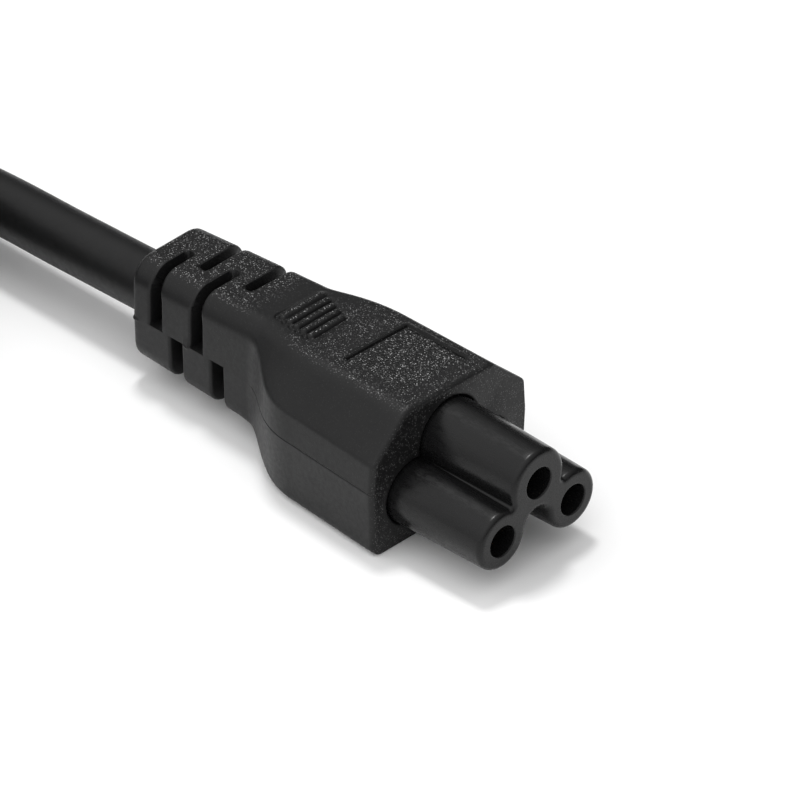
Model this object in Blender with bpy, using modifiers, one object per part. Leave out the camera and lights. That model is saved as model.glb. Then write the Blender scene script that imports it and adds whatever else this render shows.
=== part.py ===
"""A power cord: moulded cloverleaf connector, round cord wound into a coil with a tie, and a three-pin plug.

+X points out of the connector's nose, +Y to its side and +Z up. The origin is under the middle of the
connector, on the surface that the connector and the coil lie on. Lengths are in metres.
"""

import math

import bmesh
import bpy
from mathutils import Matrix, Vector

MM = 0.001
GAP = 0.3 * MM  # kept between solids that touch on the real cord

# Connector: overall
NOSE_LENGTH = 12.3 * MM
GRIP_LENGTH = 12.2 * MM
SHOULDER_LENGTH = 10.75 * MM
RELIEF_LENGTH = 17.25 * MM
CONNECTOR_LENGTH = NOSE_LENGTH + GRIP_LENGTH + SHOULDER_LENGTH + RELIEF_LENGTH
NOSE_X = CONNECTOR_LENGTH / 2
FACE_X = NOSE_X - NOSE_LENGTH
SHOULDER_X = FACE_X - GRIP_LENGTH
RELIEF_X = SHOULDER_X - SHOULDER_LENGTH
REAR_X = -CONNECTOR_LENGTH / 2

# Connector: the grip's section, which narrows a little from its face to its shoulder
FACE_HALF_WIDTH = 10.85 * MM
SHOULDER_HALF_WIDTH = 10.15 * MM
GRIP_HEIGHT = 15.5 * MM
GRIP_TOP_HALF_WIDTH = 6.1 * MM
GRIP_CHAMFER_DROP = 4.4 * MM
GRIP_SIDE_DRAFT = 0.3 * MM
GRIP_CHAMFER_RADIUS = 1.2 * MM
GRIP_FOOT_RADIUS = 1.6 * MM
PARTING_HEIGHT = 7.7 * MM
PARTING_RADIUS = 0.5 * MM
FACE_FILLET = 0.6 * MM

# Connector: the strain relief's section, at its rear end and where it meets the shoulder
RELIEF_HALF_WIDTH = 5.65 * MM
RELIEF_TOP = (14.45 * MM, 14.95 * MM)
RELIEF_BOTTOM = (2.4 * MM, 1.9 * MM)
RELIEF_CORNER_RADIUS = (2.9 * MM, 2.4 * MM)
RELIEF_SIDE_DRAFT = 0.1 * MM
REAR_FILLET = 0.9 * MM
SHOULDER_POWER = 0.72  # below 1, the shoulder narrows more slowly at the grip than at the relief
FOOT_DELAY = 3.5 * MM  # the underside starts to rise this far behind the grip
FOOT_RISE = 9.5 * MM  # and rises over this length

# Strain relief: slots that alternate between one pair of opposite quarters and the other
SLOT_COUNT = 4
SLOT_WIDTH = 1.65 * MM
SLOT_PITCH = 3.03 * MM
SLOT_DEPTH = 2.0 * MM
SLOT_FLOOR_RADIUS = 2.0 * MM
FIRST_SLOT_FROM_REAR = 3.6 * MM
SLOT_PAST_CENTRE = 0.7 * MM
SLOT_LEVEL = 7.9 * MM  # where the slots above end and those below begin

# Recessed label panel on top of the grip
PANEL_FROM_FACE = 2.3 * MM
PANEL_LENGTH = 8.5 * MM
PANEL_WIDTH = 8.7 * MM
PANEL_OFFSET = 0.65 * MM
PANEL_DEPTH = 0.3 * MM

# Insert: three lobes joined by a web
POLE_SPACING = 10.0 * MM
POLE_HEIGHT = 5.6 * MM
EARTH_RISE = 4.5 * MM
POLE_LOBE_RADIUS = 3.25 * MM
EARTH_LOBE_RADIUS = 3.65 * MM
LOBE_VALLEY_RADIUS = 1.0 * MM
WEB_ARCH_HEIGHT = 7.0 * MM
INSERT_ROOT_LENGTH = 6.0 * MM
NOSE_FILLET = 0.6 * MM
NOSE_DRAFT = 0.3 * MM  # how much larger all round it is at its foot
BORE_RADIUS = 1.7 * MM
BORE_DEPTH = 14.0 * MM

# Contact sleeves, one in each bore
CONTACT_CLEARANCE = 0.25 * MM
CONTACT_WALL = 0.3 * MM
CONTACT_INSET = 3.2 * MM

# Cord
CORD_DIAMETER = 6.6 * MM
CORD_EXIT_HEIGHT = 8.2 * MM
LEAD_ROUTE = (
    (-31.5 * MM, 0.0, 8.1 * MM),
    (-37.5 * MM, 0.0, 7.9 * MM),
    (-43.5 * MM, 0.0, 7.65 * MM),
    (-49.0 * MM, 0.0, 7.4 * MM),
    (-54.0 * MM, 0.0, 7.15 * MM),
    (-59.6 * MM, 0.0, 6.7 * MM),
)

# Coil: three turns on the floor and two on top of them, in the grooves between
TURN_PITCH = 6.75 * MM
OUTER_TURN_RADIUS = 42.4 * MM
LOWER_TURNS = 3
COIL_X = -83.75 * MM
COIL_Y = -OUTER_TURN_RADIUS
COIL_EDGE_RADIUS = 2.5 * MM
COIL_SHOULDER_SHARE = 0.75  # of the cord's diameter, where the coil's sides start to lean in

# Tail: the last stretch, which leaves the upper outer turn and rises to the plug
TAIL_START_ANGLE = math.radians(15)
TAIL_TURN = math.radians(150)
TAIL_RADIUS = 31.0 * MM
TAIL_RUN_UP = math.radians(40)

# Tie round the coil
TIE_ANGLE = math.radians(300)
TIE_WIDTH = 4.0 * MM
TIE_THICKNESS = 0.8 * MM
TIE_FOOT_RADIUS = 0.2 * MM
TIE_STUB_RADIUS = 1.0 * MM
TIE_STUB_LENGTH = 9.0 * MM

# Plug, along its own axis from the cord to the tips of its pins
PLUG_RELIEF_LENGTH = 14.0 * MM
PLUG_SHOULDER_LENGTH = 7.0 * MM
PLUG_LENGTH = 38.0 * MM
PLUG_HALF_WIDTH = 12.0 * MM
PLUG_HALF_HEIGHT = 11.0 * MM
PLUG_CORNER_RADIUS = 3.5 * MM
PLUG_RELIEF_REAR_RADIUS = 4.3 * MM
PLUG_RELIEF_FRONT_RADIUS = 5.4 * MM
PLUG_FACE_FILLET = 1.0 * MM
BLADE_SPACING = 12.7 * MM
BLADE_RAISE = 4.5 * MM
BLADE_HEIGHT = 6.35 * MM
BLADE_THICKNESS = 1.5 * MM
BLADE_LENGTH = 16.0 * MM
BLADE_TIP_BEVEL = 0.65 * MM
EARTH_PIN_DROP = 11.9 * MM
EARTH_PIN_RADIUS = 2.4 * MM
EARTH_PIN_LENGTH = 19.0 * MM
EARTH_PIN_TIP_BEVEL = 0.7 * MM
PIN_ROOT_LENGTH = 5.0 * MM

ROUND_SHARE = 0.97  # a corner this near to a full round still leaves a short flat beside it
LEAST_RADIUS = 0.15 * MM
CORNER_STEPS = 4
LOBE_STEPS = 10
ROUND_STEPS = 24
COIL_STEPS = 64
TAIL_STEPS = 20
PAST = 1.0 * MM  # how far a cutter reaches past the surface it opens


def clear_scene():
    for thing in list(bpy.data.objects):
        bpy.data.objects.remove(thing, do_unlink=True)


def new_collection(name):
    collection = bpy.data.collections.new(name)
    bpy.context.scene.collection.children.link(collection)
    return collection


def new_material(name, colour, roughness, metallic=0.0):
    made = bpy.data.materials.new(name)
    made.use_nodes = True
    shader = made.node_tree.nodes["Principled BSDF"]
    shader.inputs["Base Color"].default_value = (*colour, 1.0)
    shader.inputs["Roughness"].default_value = roughness
    shader.inputs["Metallic"].default_value = metallic
    return made


def new_object(name, mesh, material, collection):
    made = bpy.data.objects.new(name, mesh)
    collection.objects.link(made)
    if material:
        mesh.materials.append(material)
        mesh.shade_smooth()
        mesh.set_sharp_from_angle(angle=math.radians(35))
    return made


def as_cutter(cutter):
    cutter.hide_render = True
    cutter.display_type = "WIRE"


def combine(target, other, operation="DIFFERENCE"):
    """Adds a Boolean that cuts the other object from the target, or joins it on."""
    as_cutter(other)
    modifier = target.modifiers.new(other.name, "BOOLEAN")
    modifier.operation = operation
    modifier.solver = "EXACT"
    modifier.object = other


def smoothstep(share):
    share = min(max(share, 0.0), 1.0)
    return share * share * (3 - 2 * share)


def mix(first, second, share):
    return first + (second - first) * share


def fillet_insets(radius, steps=3):
    """(distance from the end face, inset) pairs of a quarter-round edge."""
    angles = [math.pi / 2 * i / steps for i in range(steps + 1)]
    return [(radius * (1 - math.sin(a)), radius * (1 - math.cos(a))) for a in reversed(angles)]


def inset_corners(corners, inset):
    """Corners of a convex outline, counter-clockwise, with each side moved inwards."""
    count = len(corners)
    moved = []
    for i in range(count):
        before, here, after = (Vector(corners[j % count]) for j in (i - 1, i, i + 1))
        side_in = (here - before).normalized()
        side_out = (after - here).normalized()
        normal_in = Vector((-side_in.y, side_in.x))
        normal_out = Vector((-side_out.y, side_out.x))
        moved.append(here + (normal_in + normal_out) * inset / (1 + normal_in.dot(normal_out)))
    return moved


def rounded_outline(corners, radii, inset=0.0):
    """Points of a convex outline whose corners are arcs; an inset shrinks each arc with its corner."""
    moved = inset_corners(corners, inset)
    count = len(moved)
    points = []
    for i in range(count):
        before, here, after = (moved[j % count] for j in (i - 1, i, i + 1))
        to_before = (before - here).normalized()
        to_after = (after - here).normalized()
        half_angle = to_before.angle(to_after) / 2
        radius = max(radii[i] - inset, LEAST_RADIUS)
        centre = here + (to_before + to_after).normalized() * radius / math.sin(half_angle)
        start = here + to_before * radius / math.tan(half_angle) - centre
        sweep = math.pi - 2 * half_angle
        for k in range(CORNER_STEPS + 1):
            turn = Matrix.Rotation(sweep * k / CORNER_STEPS, 2)
            points.append(centre + turn @ start)
    return points


def loft(name, stations, material, collection):
    """A closed solid through outlines of one point count, each (x, [(y, z), ...])."""
    shape = bmesh.new()
    rings = [[shape.verts.new((x, y, z)) for y, z in outline] for x, outline in stations]
    for ring, following in zip(rings, rings[1:]):
        for i in range(len(ring)):
            j = (i + 1) % len(ring)
            shape.faces.new((ring[i], ring[j], following[j], following[i]))
    shape.faces.new(reversed(rings[0]))
    shape.faces.new(rings[-1])
    bmesh.ops.recalc_face_normals(shape, faces=shape.faces)
    mesh = bpy.data.meshes.new(name)
    shape.to_mesh(mesh)
    shape.free()
    return new_object(name, mesh, material, collection)


def box(name, low, high, material, collection):
    shape = bmesh.new()
    bmesh.ops.create_cube(shape, size=1.0)
    size = Vector(high) - Vector(low)
    middle = (Vector(high) + Vector(low)) / 2
    bmesh.ops.transform(shape, matrix=Matrix.LocRotScale(middle, None, size), verts=shape.verts)
    mesh = bpy.data.meshes.new(name)
    shape.to_mesh(mesh)
    shape.free()
    return new_object(name, mesh, material, collection)


def rod_along_x(name, x_low, x_high, centre, radius, material, collection):
    """A cylinder along X, with its axis at (y, z)."""
    shape = bmesh.new()
    bmesh.ops.create_cone(
        shape, cap_ends=True, segments=ROUND_STEPS, radius1=radius, radius2=radius, depth=x_high - x_low
    )
    place = Matrix.Translation(((x_low + x_high) / 2, *centre)) @ Matrix.Rotation(math.pi / 2, 4, "Y")
    bmesh.ops.transform(shape, matrix=place, verts=shape.verts)
    mesh = bpy.data.meshes.new(name)
    shape.to_mesh(mesh)
    shape.free()
    return new_object(name, mesh, material, collection)


def turned(name, profile, steps, material, collection):
    """A closed profile of (radius, z), running down its outer side, turned about its own Z axis."""
    mesh = bpy.data.meshes.new(name)
    edges = [(i, (i + 1) % len(profile)) for i in range(len(profile))]
    mesh.from_pydata([(r, 0.0, z) for r, z in profile], edges, [])
    made = new_object(name, mesh, material, collection)
    screw = made.modifiers.new("turn", "SCREW")
    screw.steps = screw.render_steps = steps
    screw.use_merge_vertices = True
    screw.merge_threshold = 0.0001
    screw.use_smooth_shade = True
    return made


def smooth_route(points, spacing):
    """Points about a spacing apart on a smooth curve through the given ones."""
    route = [Vector(p) for p in points]
    padded = [2 * route[0] - route[1], *route, 2 * route[-1] - route[-2]]
    found = []
    for a, b, c, d in zip(padded, padded[1:], padded[2:], padded[3:]):
        steps = max(1, round((c - b).length / spacing))
        for k in range(steps):
            t = k / steps
            squared = (2 * a - 5 * b + 4 * c - d) * t**2
            cubed = (3 * b - a - 3 * c + d) * t**3
            found.append(0.5 * (2 * b + (c - a) * t + squared + cubed))
    return [*found, route[-1]]


def tube(name, points, radius, material, collection):
    curve = bpy.data.curves.new(name, "CURVE")
    curve.dimensions = "3D"
    curve.bevel_depth = radius
    curve.bevel_resolution = 3
    curve.use_fill_caps = True
    spline = curve.splines.new("POLY")
    spline.points.add(len(points) - 1)
    for target, point in zip(spline.points, points):
        target.co = (*point, 1.0)
    curve.materials.append(material)
    made = bpy.data.objects.new(name, curve)
    collection.objects.link(made)
    return made


def body_outline(x, inset=0.0):
    """Section of the grip, the shoulder and the strain relief at x, from one set of eight corners."""
    grip_share = min(max((FACE_X - x) / GRIP_LENGTH, 0.0), 1.0)
    behind = min(max((SHOULDER_X - x) / SHOULDER_LENGTH, 0.0), 1.0)
    share = 1 - smoothstep((1 - behind) ** SHOULDER_POWER)
    foot_share = smoothstep((SHOULDER_X - FOOT_DELAY - x) / FOOT_RISE)
    along = min((x - REAR_X) / RELIEF_LENGTH, 1.0)
    relief_radius = mix(*RELIEF_CORNER_RADIUS, along)
    side_cut = relief_radius * (2 - math.sqrt(2))
    half_width = mix(mix(FACE_HALF_WIDTH, SHOULDER_HALF_WIDTH, grip_share), RELIEF_HALF_WIDTH, share)
    top = mix(GRIP_HEIGHT, mix(*RELIEF_TOP, along), share)
    bottom = mix(0.0, mix(*RELIEF_BOTTOM, along), foot_share)
    top_half = mix(GRIP_TOP_HALF_WIDTH, RELIEF_HALF_WIDTH - side_cut, share)
    draft = mix(GRIP_SIDE_DRAFT, RELIEF_SIDE_DRAFT, share)
    chamfer_z = top - mix(GRIP_CHAMFER_DROP, side_cut, share)
    chamfer_radius = mix(GRIP_CHAMFER_RADIUS, relief_radius * ROUND_SHARE, share)
    foot_radius = mix(GRIP_FOOT_RADIUS, relief_radius, share)
    right = [
        (half_width - draft, bottom),
        (half_width, PARTING_HEIGHT),
        (half_width - draft, chamfer_z),
        (top_half, top),
    ]
    left = [(-y, z) for y, z in reversed(right)]
    radii = [foot_radius, PARTING_RADIUS, chamfer_radius, chamfer_radius]
    return rounded_outline(right + left, radii + radii[::-1], inset)


def body_stations():
    rear = [(REAR_X + step, body_outline(REAR_X + step, inset)) for step, inset in fillet_insets(REAR_FILLET)]
    relief_span = RELIEF_LENGTH - REAR_FILLET
    relief = [REAR_X + REAR_FILLET + relief_span * i / 4 for i in range(1, 4)]
    shoulder = [RELIEF_X + SHOULDER_LENGTH * i / 12 for i in range(13)]
    grip = [SHOULDER_X + GRIP_LENGTH / 2]
    middle = [(x, body_outline(x)) for x in relief + shoulder + grip]
    front = [
        (FACE_X - step, body_outline(FACE_X - step, inset))
        for step, inset in reversed(fillet_insets(FACE_FILLET))
    ]
    return rear + middle + front


def slot_outline(side, level):
    """A quarter of the groove round the strain relief: side and level are each 1 or -1."""
    surface = sum(RELIEF_TOP if level > 0 else RELIEF_BOTTOM) / 2
    half_height = abs(surface - SLOT_LEVEL)
    core_width = RELIEF_HALF_WIDTH - SLOT_DEPTH
    core_height = half_height - SLOT_DEPTH
    outer_width = RELIEF_HALF_WIDTH + PAST
    outer_height = half_height + PAST
    arc = [math.pi / 2 * k / CORNER_STEPS for k in range(CORNER_STEPS + 1)]
    round_y, round_z = core_width - SLOT_FLOOR_RADIUS, core_height - SLOT_FLOOR_RADIUS
    corner = [
        (round_y + SLOT_FLOOR_RADIUS * math.cos(a), round_z + SLOT_FLOOR_RADIUS * math.sin(a)) for a in arc
    ]
    quarter = [
        (core_width, 0.0),
        *corner,
        (-SLOT_PAST_CENTRE, core_height),
        (-SLOT_PAST_CENTRE, outer_height),
        (outer_width, outer_height),
        (outer_width, 0.0),
    ]
    return [(side * y, SLOT_LEVEL + level * z) for y, z in quarter]


def make_connector_body(material, collection, cutters):
    body = loft("connector_body", body_stations(), material, collection)
    for i in range(SLOT_COUNT):
        x = REAR_X + FIRST_SLOT_FROM_REAR + i * SLOT_PITCH
        ends = (x - SLOT_WIDTH / 2, x + SLOT_WIDTH / 2)
        side = -1 if i % 2 == 0 else 1
        for level in (1, -1):
            outline = slot_outline(side * level, level)
            combine(body, loft(f"slot_{i}_{level}", [(end, outline) for end in ends], None, cutters))
    panel_high = FACE_X - PANEL_FROM_FACE
    low = (panel_high - PANEL_LENGTH, PANEL_OFFSET - PANEL_WIDTH / 2, GRIP_HEIGHT - PANEL_DEPTH)
    high = (panel_high, PANEL_OFFSET + PANEL_WIDTH / 2, GRIP_HEIGHT + PAST)
    combine(body, box("panel_recess", low, high, None, cutters))
    pocket_depth = INSERT_ROOT_LENGTH + GAP
    pocket = [(x, lobe_outline(-GAP - NOSE_DRAFT)) for x in (FACE_X - pocket_depth, FACE_X + PAST)]
    combine(body, loft("insert_pocket", pocket, None, cutters))


def meet_point(centre_a, reach_a, centre_b, reach_b, side):
    """The point at two given distances from two centres; side picks which of the two it is."""
    a, b = Vector(centre_a), Vector(centre_b)
    span = (b - a).length
    along = (reach_a**2 - reach_b**2 + span**2) / (2 * span)
    across = math.sqrt(reach_a**2 - along**2)
    direction = (b - a) / span
    return a + direction * along + Vector((-direction.y, direction.x)) * across * side


def lobe_outline(inset=0.0):
    """Three round lobes and the three hollow arcs that join them, tangent all the way round."""
    near, far = (-POLE_SPACING / 2, POLE_HEIGHT), (POLE_SPACING / 2, POLE_HEIGHT)
    earth = (0.0, POLE_HEIGHT + EARTH_RISE)
    arch_top = WEB_ARCH_HEIGHT - POLE_HEIGHT
    arch_radius = (near[0] ** 2 + arch_top**2 - POLE_LOBE_RADIUS**2) / (2 * (POLE_LOBE_RADIUS + arch_top))
    arch = (0.0, WEB_ARCH_HEIGHT - arch_radius)
    reach_earth = EARTH_LOBE_RADIUS + LOBE_VALLEY_RADIUS
    reach_pole = POLE_LOBE_RADIUS + LOBE_VALLEY_RADIUS
    valley_far = meet_point(earth, reach_earth, far, reach_pole, 1)
    valley_near = meet_point(earth, reach_earth, near, reach_pole, -1)
    circles = [
        (far, POLE_LOBE_RADIUS, True),
        (valley_far, LOBE_VALLEY_RADIUS, False),
        (earth, EARTH_LOBE_RADIUS, True),
        (valley_near, LOBE_VALLEY_RADIUS, False),
        (near, POLE_LOBE_RADIUS, True),
        (arch, arch_radius, False),
    ]
    points = []
    for i, (centre, radius, convex) in enumerate(circles):
        centre = Vector(centre)
        before = Vector(circles[i - 1][0]) - centre
        after = Vector(circles[(i + 1) % len(circles)][0]) - centre
        start, end = math.atan2(before.y, before.x), math.atan2(after.y, after.x)
        sweep = (end - start) % math.tau if convex else -((start - end) % math.tau)
        reach = radius - inset if convex else radius + inset
        steps = LOBE_STEPS if convex else CORNER_STEPS
        for k in range(steps):
            angle = start + sweep * (k + 0.5) / steps
            points.append(centre + Vector((math.cos(angle), math.sin(angle))) * reach)
    return points


def pole_places():
    return {
        "line": (-POLE_SPACING / 2, POLE_HEIGHT),
        "neutral": (POLE_SPACING / 2, POLE_HEIGHT),
        "earth": (0.0, POLE_HEIGHT + EARTH_RISE),
    }


def make_connector_insert(material, collection, cutters):
    root_x = FACE_X - INSERT_ROOT_LENGTH
    stations = [(root_x, lobe_outline(-NOSE_DRAFT)), (FACE_X, lobe_outline(-NOSE_DRAFT))]
    stations += [(NOSE_X - step, lobe_outline(inset)) for step, inset in reversed(fillet_insets(NOSE_FILLET))]
    insert = loft("connector_insert", stations, material, collection)
    for pole, centre in pole_places().items():
        ends = (NOSE_X - BORE_DEPTH, NOSE_X + PAST)
        bore = rod_along_x(f"bore_{pole}", *ends, centre, BORE_RADIUS, None, cutters)
        combine(insert, bore)


def make_contacts(material, collection):
    outer = BORE_RADIUS - CONTACT_CLEARANCE
    inner = outer - CONTACT_WALL
    length = BORE_DEPTH - CONTACT_INSET - GAP
    profile = [(outer, length), (outer, 0.0), (inner, 0.0), (inner, length)]
    for pole, (y, z) in pole_places().items():
        sleeve = turned(f"contact_{pole}", profile, ROUND_STEPS, material, collection)
        sleeve.location = (NOSE_X - BORE_DEPTH + GAP, y, z)
        sleeve.rotation_euler = (0.0, math.pi / 2, 0.0)


def turn_heights():
    """Height of the cord's centre on the floor, and in the grooves of the layer below."""
    floor_turn = CORD_DIAMETER / 2
    return floor_turn, floor_turn + TURN_PITCH * math.sqrt(3) / 2


def coil_top():
    return turn_heights()[1] + CORD_DIAMETER / 2


def coil_section(bottom, foot_radius, inset=0.0):
    """(radius, z) points round the coil's turns, counter-clockwise, from a given bottom height."""
    radius = CORD_DIAMETER / 2
    outer = OUTER_TURN_RADIUS + radius
    inner = OUTER_TURN_RADIUS - (LOWER_TURNS - 1) * TURN_PITCH - radius
    shoulder = CORD_DIAMETER * COIL_SHOULDER_SHARE
    top = coil_top()
    corners = [
        (inner, bottom),
        (outer, bottom),
        (outer, shoulder),
        (outer - TURN_PITCH / 2, top),
        (inner + TURN_PITCH / 2, top),
        (inner, shoulder),
    ]
    radii = [foot_radius] * 2 + [COIL_EDGE_RADIUS] * 4
    return rounded_outline(corners, radii, inset)


def coil_place():
    return Matrix.Translation((COIL_X, COIL_Y, 0.0))


def tie_place():
    """The frame of the tie: X across it along the turn, Y outwards from the coil's axis."""
    return coil_place() @ Matrix.Rotation(TIE_ANGLE - math.pi / 2, 4, "Z")


def make_coil(material, collection, cutters):
    profile = list(reversed(coil_section(0.0, COIL_EDGE_RADIUS)))
    coil = turned("cord_coil", profile, COIL_STEPS, material, collection)
    coil.matrix_world = coil_place()
    half = TIE_WIDTH / 2 + GAP
    low = (-half, OUTER_TURN_RADIUS - LOWER_TURNS * TURN_PITCH, -PAST)
    high = (half, OUTER_TURN_RADIUS + TURN_PITCH, TIE_THICKNESS + GAP)
    notch = box("tie_notch", low, high, None, cutters)
    notch.matrix_world = tie_place()
    combine(coil, notch)


def make_tie(material, collection, cutters):
    ends = (-TIE_WIDTH / 2, TIE_WIDTH / 2)
    bottom = TIE_THICKNESS + GAP
    outside = [(x, coil_section(bottom, TIE_FOOT_RADIUS, -GAP - TIE_THICKNESS)) for x in ends]
    inside = [(x + math.copysign(PAST, x), coil_section(bottom, TIE_FOOT_RADIUS, -GAP)) for x in ends]
    tie = loft("cord_tie", outside, material, collection)
    hole = loft("tie_hole", inside, None, cutters)
    stub_y = OUTER_TURN_RADIUS + CORD_DIAMETER / 2 + GAP + TIE_THICKNESS
    stub_x = (-TIE_WIDTH / 4, TIE_STUB_LENGTH)
    stub = rod_along_x("tie_stub", *stub_x, (stub_y, CORD_DIAMETER / 2), TIE_STUB_RADIUS, None, cutters)
    for piece in (tie, hole, stub):
        piece.matrix_world = tie_place()
    combine(tie, stub, "UNION")
    combine(tie, hole)


def tail_point(turned_by):
    """The cord's centre on the tail, by the angle turned since it left the coil."""
    upper = turn_heights()[1]
    offset = OUTER_TURN_RADIUS - TURN_PITCH / 2 - TAIL_RADIUS
    angle = TAIL_START_ANGLE + turned_by
    run_up = TAIL_RUN_UP * (OUTER_TURN_RADIUS - TURN_PITCH / 2) / TAIL_RADIUS
    share = (turned_by + run_up) / (TAIL_TURN + run_up)
    rise = plug_axis_height() - upper
    return Vector(
        (
            COIL_X + offset * math.cos(TAIL_START_ANGLE) + TAIL_RADIUS * math.cos(angle),
            COIL_Y + offset * math.sin(TAIL_START_ANGLE) + TAIL_RADIUS * math.sin(angle),
            upper + rise * (1 - math.cos(math.pi * share)) / 2,
        )
    )


def plug_axis_height():
    return coil_top() + GAP + PLUG_HALF_HEIGHT


def make_cords(material, collection):
    exit_point = (REAR_X - GAP, 0.0, CORD_EXIT_HEIGHT)
    spacing = 2.2 * CORD_DIAMETER
    lead = smooth_route([exit_point, *LEAD_ROUTE], spacing)
    tube("cord", lead, CORD_DIAMETER / 2, material, collection)
    clear_height = coil_top() + GAP + CORD_DIAMETER / 2
    last = TAIL_TURN - GAP / TAIL_RADIUS
    tail = [tail_point(last * i / TAIL_STEPS) for i in range(TAIL_STEPS + 1)]
    tail = [point for point in tail if point.z > clear_height]
    tube("cord_tail", tail, CORD_DIAMETER / 2, material, collection)


def plug_place():
    """The plug's frame: X out of its face, with the origin where the cord enters."""
    heading = TAIL_START_ANGLE + TAIL_TURN + math.pi / 2
    return Matrix.Translation(tail_point(TAIL_TURN)) @ Matrix.Rotation(heading, 4, "Z")


def plug_outline(x, inset=0.0):
    relief_share = min(x / PLUG_RELIEF_LENGTH, 1.0)
    relief = mix(PLUG_RELIEF_REAR_RADIUS, PLUG_RELIEF_FRONT_RADIUS, relief_share)
    share = smoothstep((x - PLUG_RELIEF_LENGTH) / PLUG_SHOULDER_LENGTH)
    half_width = mix(relief, PLUG_HALF_WIDTH, share)
    half_height = mix(relief, PLUG_HALF_HEIGHT, share)
    radius = mix(relief * ROUND_SHARE, PLUG_CORNER_RADIUS, share)
    corners = [
        (half_width, -half_height),
        (half_width, half_height),
        (-half_width, half_height),
        (-half_width, -half_height),
    ]
    return rounded_outline(corners, [radius] * len(corners), inset)


def make_plug(body_material, pin_material, collection, cutters):
    shoulder = [PLUG_RELIEF_LENGTH + PLUG_SHOULDER_LENGTH * i / 6 for i in range(7)]
    stations = [(x, plug_outline(x)) for x in (0.0, *shoulder)]
    stations += [
        (PLUG_LENGTH - step, plug_outline(PLUG_LENGTH - step, inset))
        for step, inset in reversed(fillet_insets(PLUG_FACE_FILLET))
    ]
    body = loft("plug_body", stations, body_material, collection)
    body.matrix_world = plug_place()
    root = PLUG_LENGTH - PIN_ROOT_LENGTH
    for pole, side in (("line", -1), ("neutral", 1)):
        y = side * BLADE_SPACING / 2
        low = Vector((root, y - BLADE_THICKNESS / 2, BLADE_RAISE - BLADE_HEIGHT / 2))
        high = Vector((PLUG_LENGTH + BLADE_LENGTH, y + BLADE_THICKNESS / 2, BLADE_RAISE + BLADE_HEIGHT / 2))
        blade = box(f"plug_blade_{pole}", low, high, pin_material, collection)
        bevel_tip(blade, high.x, BLADE_TIP_BEVEL)
        around = Vector((GAP, GAP, GAP))
        pocket = box(f"blade_pocket_{pole}", low - around, high + around, None, cutters)
        blade.matrix_world = pocket.matrix_world = plug_place()
        combine(body, pocket)
    pin_centre = (0.0, BLADE_RAISE - EARTH_PIN_DROP)
    tip = PLUG_LENGTH + EARTH_PIN_LENGTH
    pin = rod_along_x("plug_earth_pin", root, tip, pin_centre, EARTH_PIN_RADIUS, pin_material, collection)
    bevel_tip(pin, tip, EARTH_PIN_TIP_BEVEL)
    pocket = rod_along_x(
        "pin_pocket", root - GAP, tip + PAST, pin_centre, EARTH_PIN_RADIUS + GAP, None, cutters
    )
    pin.matrix_world = pocket.matrix_world = plug_place()
    combine(body, pocket)


def bevel_tip(piece, tip_x, width):
    """Bevels the edges round the piece's far end along X."""
    shape = bmesh.new()
    shape.from_mesh(piece.data)
    edges = [e for e in shape.edges if all(abs(v.co.x - tip_x) < 0.01 * MM for v in e.verts)]
    bmesh.ops.bevel(shape, geom=edges, offset=width, segments=2, profile=0.6, affect="EDGES")
    shape.to_mesh(piece.data)
    shape.free()


def main():
    clear_scene()
    parts = new_collection("cloverleaf_power_cord")
    cutters = new_collection("cutters")
    grained_black = new_material("grained_black", (0.022, 0.022, 0.023), 0.55)
    gloss_black = new_material("gloss_black", (0.012, 0.012, 0.013), 0.25)
    cord_black = new_material("cord_black", (0.02, 0.02, 0.021), 0.45)
    tie_black = new_material("tie_black", (0.03, 0.03, 0.032), 0.35)
    brass = new_material("brass", (0.72, 0.53, 0.28), 0.35, 1.0)
    nickel = new_material("nickel", (0.68, 0.66, 0.62), 0.25, 1.0)
    make_connector_body(grained_black, parts, cutters)
    make_connector_insert(gloss_black, parts, cutters)
    make_contacts(brass, parts)
    make_cords(cord_black, parts)
    make_coil(cord_black, parts, cutters)
    make_tie(tie_black, parts, cutters)
    make_plug(grained_black, nickel, parts, cutters)


main()
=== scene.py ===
"""Looks of a cloverleaf power cord: a moulded connector on a round lead, the lead's tied coil and a plug.

Lengths are in millimetres until a mesh is made, which turns them into metres. As in the frame, +X points
out of the connector's nose, +Y to its far side and +Z up, with the origin under the connector's middle.
"""

import math

import bmesh
import bpy
import numpy as np
from mathutils import Matrix, Vector


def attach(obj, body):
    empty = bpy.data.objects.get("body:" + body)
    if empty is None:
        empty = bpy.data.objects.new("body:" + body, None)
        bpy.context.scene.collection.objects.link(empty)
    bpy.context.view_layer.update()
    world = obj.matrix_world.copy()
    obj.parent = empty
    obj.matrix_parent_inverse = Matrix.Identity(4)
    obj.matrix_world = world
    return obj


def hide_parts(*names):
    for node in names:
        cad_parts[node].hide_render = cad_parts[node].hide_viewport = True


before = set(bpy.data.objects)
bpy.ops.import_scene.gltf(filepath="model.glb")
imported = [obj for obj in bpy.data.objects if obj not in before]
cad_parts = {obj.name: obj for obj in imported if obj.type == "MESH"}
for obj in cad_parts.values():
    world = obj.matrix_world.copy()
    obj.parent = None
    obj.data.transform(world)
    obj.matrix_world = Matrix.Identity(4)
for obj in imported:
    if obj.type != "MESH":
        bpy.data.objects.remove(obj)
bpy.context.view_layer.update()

MM = 0.001

# Camera, as the photograph's view was fitted
CAMERA_TARGET = (4.405, 2.796, 8.0)
CAMERA_AZIMUTH = 44.527
CAMERA_ELEVATION = 34.329
CAMERA_ROLL = 0.33
CAMERA_DISTANCE = 500.0
CAMERA_FOCAL_PIXELS = 4969.995
IMAGE_PIXELS = 800
SENSOR_WIDTH = 36.0

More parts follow.
